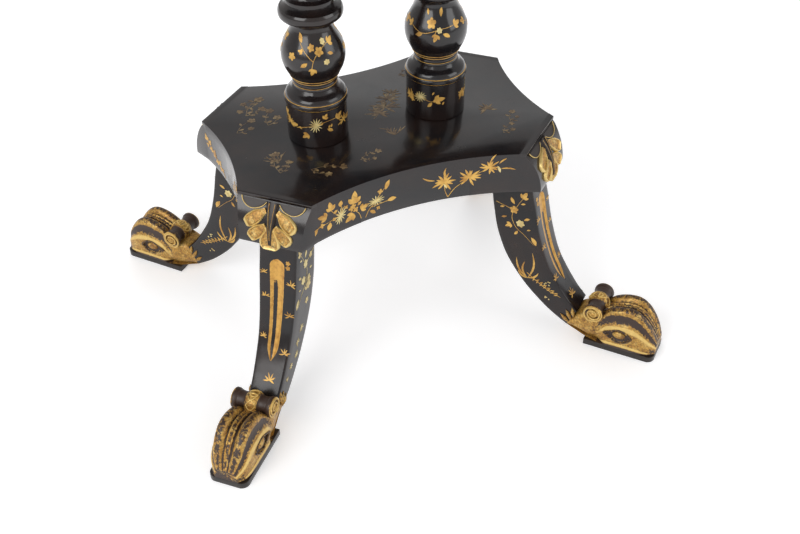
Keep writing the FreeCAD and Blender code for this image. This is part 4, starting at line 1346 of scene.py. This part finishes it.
def sideSprays():
    back = newSpray()
    rng = random.Random(21)
    twig(back, rng, -100, 14, 24, 48, 9)
    twig(back, rng, -60, 12, 32, 34, 8)
    twig(back, rng, 20, 10, 30, 30, 8, True, -0.12)
    bamboo(back, rng, 62, 27, 90, 14, 11, 290)
    bamboo(back, rng, 90, 31, 70, 13, 10, 290)
    stem(back, [(50, 6), (58, 15), (62, 25)], 0.9)
    laySpray("backWallGilding", back, longWall("back"), leafGilt)
    left = newSpray()
    stem(left, [(-22, 2), (-34, 10), (-50, 18), (-66, 30)], 0.8)
    for along, z, angle, size in ((-68, 33, 115, 9), (-60, 30, 60, 7), (-58, 22, 190, 8), (-50, 22, 70, 7),
                                  (-44, 12, 200, 8), (-36, 15, 60, 7), (-28, 9, 50, 6), (-66, 24, 170, 6)):
        lobedLeaf(left, along, z, angle, size)
    blossom(left, -50, 18, 4.4, 5, 10)
    blossom(left, -34, 8, 3.6, 5, 40)
    twig(left, rng, 12, 10, 30, 34, 8)
    laySpray("leftWallGilding", left, shortWall("left"), leafGilt)
    right = newSpray()
    rng = random.Random(33)
    twig(right, rng, -46, 12, 26, 42, 9)
    twig(right, rng, 4, 12, 30, 36, 8)
    grass(right, rng, 0, 6, 90, 26, 7, 110)
    laySpray("rightWallGilding", right, shortWall("right"), leafGilt)


# worn plants on the platform's top, mostly rubbed down to brown
def platformSprays():
    plants = newSpray()
    rng = random.Random(14)
    for x, y, angle, length, size in ((-140, 66, 50, 38, 9), (-118, 92, 210, 30, 8), (-160, 34, 40, 30, 8),
                                      (-122, 36, 70, 32, 9), (-105, -69, -14, 36, 8), (-138, -62, 80, 38, 8),
                                      (-48, -72, 20, 26, 6), (140, -66, 60, 22, 6), (122, -84, 40, 22, 6),
                                      (96, 60, 80, 30, 6), (60, 84, 20, 30, 6)):
        twig(plants, rng, x, y, angle, length, size)
        twig(plants, rng, x, y, angle - 30, length * 0.6, size * 0.8, True, -0.14)
    stem(plants, [(-4, 1.5), (8, 12), (19, 24), (39, 52)], 1.2)
    for x, y, angle, size in ((6, 10, 70, 16), (17, 21, 60, 18), (27, 36, 60, 16), (126, -30, 90, 13),
                              (36, 48, 40, 12)):
        bamboo(plants, rng, x, y, angle, size, 9, 250)
    for x, y, angle, size in ((6, -40, 84, 22), (-132, -40, 100, 18)):
        grass(plants, rng, x, y, angle, size, 9, 100)
    berries(plants, rng, -134, -46, 8, 9, 3.4)
    laySpray("platformGilding", plants, onPlatform, fadedGilt, "base", 0.1)


# each column's flowers by angle and height; the same group is laid three times round it
columnFlowers = {
    "Left": {
        "daisies": [(-111, 30, 9.5)], "blossoms": [(-149, 113, 4.6), (-96, 120, 5.2), (-111, 124, 4.2)],
        "pale": [(-85, 129, 3.6), (-84, 108, 3.4)],
        "leaves": [(-63, 36, 40, 10), (-155, 27, 190, 10), (-131, 16, 220, 9), (-84, 22, -30, 8),
                   (-92, 40, 60, 7), (-136, 133, 120, 11), (-67, 128, 30, 10), (-125, 106, 215, 9),
                   (-110, 98, 250, 9), (-74, 116, -20, 7), (-132, 120, 170, 6)],
        "stems": [[(-150, 24), (-131, 27), (-111, 30), (-88, 34), (-66, 35)],
                  [(-112, 98), (-108, 110), (-98, 119), (-80, 126), (-68, 127)],
                  [(-108, 110), (-124, 120), (-138, 130)]],
    },
    "Right": {
        "daisies": [(-144, 30, 8.5)], "blossoms": [(-123, 123, 6.0), (-57, 27, 3.0)],
        "pale": [(-107, 116, 3.4)],
        "leaves": [(-106, 29, 10, 12), (-124, 22, 230, 8), (-166, 24, 190, 8), (-100, 134, 75, 10),
                   (-69, 120, 15, 10), (-94, 110, -30, 9), (-114, 108, 250, 9), (-146, 110, 200, 9),
                   (-172, 119, 170, 8), (-134, 134, 110, 7)],
        "stems": [[(-168, 26), (-144, 30), (-124, 26), (-104, 28)],
                  [(-116, 106), (-112, 116), (-90, 118), (-70, 120)],
                  [(-112, 116), (-140, 112), (-168, 118)]],
    },
}


def columnSprays():
    for side, word in ((-1, "Left"), (1, "Right")):
        c = columnFlowers[word]
        gold, pale = newSpray(), newSpray()
        rng = random.Random(40 + side)
        for spin in (0, 122, 241):
            def along(angle, spin=spin):
                return math.radians(angle + spin) * 34.0
            for points in c["stems"]:
                stem(gold, [(along(a), z) for a, z in points], 0.7)
            for angle, z, size in c["daisies"]:
                daisy(pale, along(angle), z, size, 13, angle, 0.8)
            for angle, z, size in c["blossoms"]:
                blossom(gold, along(angle), z, size, 5, angle)
            for angle, z, size in c["pale"]:
                blossom(pale, along(angle), z, size, 6, angle)
            for k, (angle, z, turn, size) in enumerate(c["leaves"]):
                if k % 2:
                    petal(gold, along(angle), z, turn, size, size * 0.5, 0.04)
                else:
                    lobedLeaf(gold, along(angle), z, turn, size)
            for _ in range(4):
                petal(gold, along(-60 - rng.uniform(0, 100)), rng.uniform(18, 42), rng.uniform(0, 360),
                      4.5, 2.0)
            bamboo(gold, rng, along(-50), 27, 90, 9, 9, 260)
        laySpray("columnGilding" + word, gold, roundColumn(side, 0), leafGilt)
        laySpray("columnPaleGilding" + word, pale, roundColumn(side, 0), paleGilt)


def legSprays():
    for corner in corners:
        word = pieceWord(corner)
        for side, name in ((1, "A"), (-1, "B")):
            rng = random.Random(len(corner) * 7 + side)
            gold, pale = newSpray(), newSpray()
            stem(gold, [(-41, 181), (-30, 178), (-18, 176), (-12, 186), (-6, 197)], 0.7)
            stem(gold, [(-18, 175), (-20, 163), (-14, 150), (-4, 142), (9, 130)], 0.7)
            lobedLeaf(gold, -6, 198, 65, 11)
            lobedLeaf(gold, -23.5, 151, 215, 9)
            for s, z, angle, size in ((-20, 188, 120, 10), (-33, 176, 200, 6), (-7, 186, 20, 6),
                                      (-30, 162, 200, 7), (-1, 165, 30, 8), (-14, 142, 240, 8),
                                      (2, 150, 20, 5), (9, 135, 300, 13)):
                petal(gold, s, z, angle, size, size * 0.42, 0.06)
            blossom(gold, -18, 175, 5.6, 5, 20)
            blossom(pale, -9, 157, 5.4, 6, 50)
            if corner == "front_left":
                blossom(pale, -32, 178, 4.4, 5, 10)
                blossom(pale, -21, 143, 6.6, 6, 30)
                blossom(pale, -15, 123, 4.4, 5, 0)
                for s, z, size in ((1.6, 94, 6), (13, 81, 6), (18, 66, 5.4), (33, 61, 5), (45, 50, 4)):
                    bamboo(pale, rng, s, z, 60, size, 8, 300)
            else:
                for s, z, angle, size, bend in ((4, 75, 118, 33, 0.14), (4, 75, 84, 42, -0.12),
                                                (4, 75, 100, 26, 0.18), (4, 76, 40, 18, -0.16),
                                                (3, 75, 140, 15, 0.16)):
                    leaf(gold, s, z, angle, size, 2.5, bend, 0.7, 9)
                stem(gold, [(3, 84), (14, 76), (26, 68), (38, 62), (48, 59)], 1.0)
                for k in range(7):
                    petal(gold, 12 + 5 * k, 76 - 2.6 * k, 250 - 6 * k, 6, 1.5, 0.05)
                    petal(gold, 12 + 5 * k, 79 - 2.6 * k, 40 - 6 * k, 6, 1.5, -0.05)
                berries(pale, rng, 30, 76, 5, 3.6, 2.0)
                berries(pale, rng, 31, 52, 4, 3.6, 2.0)
            tone = paleGilt if corner == "front_left" else leafGilt
            laySpray("legGilding" + name + word, gold, legSide(corner, side), tone)
            laySpray("legPaleGilding" + name + word, pale, legSide(corner, side), paleGilt)
        face = newSpray()
        rng = random.Random(3)
        blossom(face, 13, 190.5, 2.9, 5)
        blossom(face, 13, 184.8, 2.9, 5, 30)
        for v, z, angle, size in ((17, 164, 80, 6.5), (16.5, 126, 100, 6.5), (15.5, 84, 80, 6.5),
                                  (-16, 174, 90, 5.5), (-14, 145, 100, 6), (-13, 97, 80, 5.5),
                                  (3, 56, 90, 8)):
            bamboo(face, rng, v, z, angle, size, 6, 200)
        laySpray("legFaceGilding" + word, face, legFront(corner), leafGilt)


wallSprays()
sideSprays()
platformSprays()
columnSprays()
legSprays()
print("gilding laid")


# the tilting top
tableTop = {"recess": 0.4, "lines": [(26, 1.6), (32, 0.6), (92, 0.8)], "cornerRadius": 52.0}


def makeTop():
    panel = cleanCopy("top_panel", "topPanel", 0.0)
    high = max(v.co.z for v in panel.data.vertices)
    for vertex in panel.data.vertices:
        if vertex.co.z > high - 0.00001:
            vertex.co.z -= tableTop["recess"] * mm
    finishPiece(panel, "top", [blackLacquer], ["top_panel"])
    for side in ("front", "back", "left", "right"):
        lipping = cleanCopy("lipping_" + side, "lipping" + side.title(), 0.0)
        finishPiece(lipping, "top", [blackLacquer], ["lipping_" + side])
    for side in ("left", "right"):
        bearer = cleanCopy("bearer_" + side, "bearer" + side.title(), 1.4, 1, 3)
        finishPiece(bearer, "top", [ebonised, wornEdge], ["bearer_" + side])
    block = cleanCopy("head_block", "headBlock", 1.2, 1, 3)
    finishPiece(block, "base", [ebonised, wornEdge], ["head_block"])


def onTop(x, y):
    return Vector((x, y, topHeight - tableTop["recess"] + lift)) * mm


# a line all round, parallel to the edge of the top
def borderLine(spray, inset, width):
    outerX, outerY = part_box("lipping_right")[1].x / mm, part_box("lipping_back")[1].y / mm
    x, y = outerX - inset, outerY - inset
    radius = max(12.0, tableTop["cornerRadius"] - inset)
    path = []
    for cx, cy, start in ((x - radius, y - radius, 0), (-x + radius, y - radius, 90),
                          (-x + radius, -y + radius, 180), (x - radius, -y + radius, 270)):
        for k in range(13):
            a = math.radians(start + 90 * k / 12)
            path.append((cx + radius * math.cos(a), cy + radius * math.sin(a)))
    path += [path[0]]
    ribbon(spray, path, [width] * len(path))


def topSprays():
    gold, pale = newSpray(), newSpray()
    for inset, width in tableTop["lines"]:
        borderLine(gold, inset, width)
    rng = random.Random(77)
    for sx, sy in corners.values():
        for angle, length, size in ((18, 96, 13), (62, 74, 12), (40, 52, 11)):
            turn = angle if sx * sy > 0 else 180 - angle
            turn += 180 if sy > 0 else 0
            twig(gold, rng, sx * 372, sy * 238, turn, length, size)
        blossom(pale, sx * 356, sy * 222, 13, 6)
        daisy(pale, sx * 322, sy * 214, 15, 13, 20, 0.9)
    for k in range(22):
        turn = 2 * math.pi * k / 22
        x, y = 362 * math.cos(turn), 226 * math.sin(turn)
        if abs(x) < 300 and abs(y) > 190 or abs(y) < 150 and abs(x) > 330:
            bamboo(gold, rng, x * 0.99, y * 1.02, rng.uniform(0, 360), 13, 8, 260)
    for x, y, angle, length, size, bend in ((-150, -110, 62, 190, 24, 0.18),
                                            (-150, -110, 34, 150, 21, -0.16), (-90, -40, 80, 130, 19, 0.1),
                                            (40, -120, 74, 200, 24, -0.14), (40, -120, 40, 170, 22, 0.18),
                                            (110, -40, 20, 110, 18, 0.15), (-160, -105, 110, 120, 19, -0.16),
                                            (30, -115, 110, 110, 18, 0.12)):
        twig(gold, rng, x, y, angle, length, size, True, bend)
        px = x + math.cos(math.radians(angle)) * length * 0.55
        py = y + math.sin(math.radians(angle)) * length * 0.55
        blossom(pale, px, py, size * 0.8, 6, angle)
    for x, y, size in ((-60, 60, 26), (150, 60, 24), (-190, 20, 22), (60, -10, 24)):
        daisy(pale, x, y, size, 15, rng.uniform(0, 60), 0.8)
        lobedLeaf(gold, x + size * 0.8, y - size * 0.5, -30, size)
        lobedLeaf(gold, x - size * 0.8, y - size * 0.4, 210, size)
    for x, y, size in ((-150, -116, 60), (36, -124, 66), (160, -110, 46), (-60, -122, 44)):
        grass(gold, rng, x, y, 90, size, 11, 110)
    laySpray("topGilding", gold, onTop, leafGilt, "top")
    laySpray("topPaleGilding", pale, onTop, paleGilt, "top")


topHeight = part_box("top_panel")[1].z / mm
makeTop()
topSprays()
print("top made")


# brass and iron, and the bare wood that nobody polished
def fittings():
    for node, obj in nodes.items():
        if obj.hide_render:
            continue
        if node.endswith("screws"):
            finish = dullIron
        elif node.startswith(("bolt", "keeper", "pivot")):
            finish = oldBrass
        else:
            finish = bareWood
        obj.data.materials.clear()
        obj.data.materials.append(finish)


fittings()
print("fittings finished")


stageSet = {
    "floor": (0.90, 0.90, 0.91), "floorGlow": 0.32, "world": (1.0, 1.0, 1.0), "worldLight": 0.62,
    "worldSeen": 1.0,
    "lamps": [("keyLamp", (-2.6, -1.6, 2.1), 2.2, 62), ("fillLamp", (2.4, -2.2, 1.5), 2.0, 30),
              ("backLamp", (0.6, 3.0, 1.6), 2.4, 34)],
}


def makeStage():
    deselectAll()
    bpy.ops.mesh.primitive_plane_add(size=14, location=(0, 0, 0))
    floor = bpy.context.object
    floor.name = "floor"
    w = Wires("paleFloor")
    rays = w.add("ShaderNodeLightPath")
    seen = w.math("MAXIMUM", rays.outputs["Is Camera Ray"], rays.outputs["Is Glossy Ray"])
    w.set(Roughness=0.75, Emission_Color=(1, 1, 1, 1),
          Emission_Strength=w.math("MULTIPLY", seen, stageSet["floorGlow"]))
    w.shader.inputs["Base Color"].default_value = (*stageSet["floor"], 1)
    floor.data.materials.append(w.material)
    world = bpy.data.worlds.new("plainWorld")
    bpy.context.scene.world = world
    world.use_nodes = True
    tree = world.node_tree
    background = tree.nodes["Background"]
    background.inputs["Color"].default_value = (*stageSet["world"], 1)
    rays = tree.nodes.new("ShaderNodeLightPath")
    strength = tree.nodes.new("ShaderNodeMapRange")
    strength.inputs["To Min"].default_value = stageSet["worldLight"]
    strength.inputs["To Max"].default_value = stageSet["worldSeen"]
    tree.links.new(rays.outputs["Is Camera Ray"], strength.inputs["Value"])
    tree.links.new(strength.outputs["Result"], background.inputs["Strength"])
    target = Vector((0, 0, 0.25))
    for name, place, size, power in stageSet["lamps"]:
        deselectAll()
        bpy.ops.object.light_add(type="AREA", location=place)
        lamp = bpy.context.object
        lamp.name = name
        lamp.data.size = size
        lamp.data.energy = power
        lamp.visible_glossy = name != "backLamp"
        lamp.rotation_euler = (target - Vector(place)).to_track_quat("-Z", "Y").to_euler()


viewpoint = {
    "place": (-0.3985, -1.0741, 0.9898), "aim": (-0.01825, -0.11074, 0.13784), "roll": -0.774, "lens": 51.74,
}


def makeCamera():
    deselectAll()
    bpy.ops.object.camera_add(location=viewpoint["place"])
    camera = bpy.context.object
    camera.name = "camera"
    camera.data.lens = viewpoint["lens"]
    camera.data.sensor_width = 36
    camera.data.clip_start = 0.01
    aim = Vector(viewpoint["aim"]) - Vector(viewpoint["place"])
    roll = Matrix.Rotation(math.radians(viewpoint["roll"]), 3, "Z")
    turned = aim.to_track_quat("-Z", "Y").to_matrix() @ roll
    camera.rotation_euler = turned.to_euler()
    bpy.context.scene.camera = camera


makeStage()
makeCamera()
bpy.context.scene.view_settings.view_transform = "Standard"
print("stage and camera set")
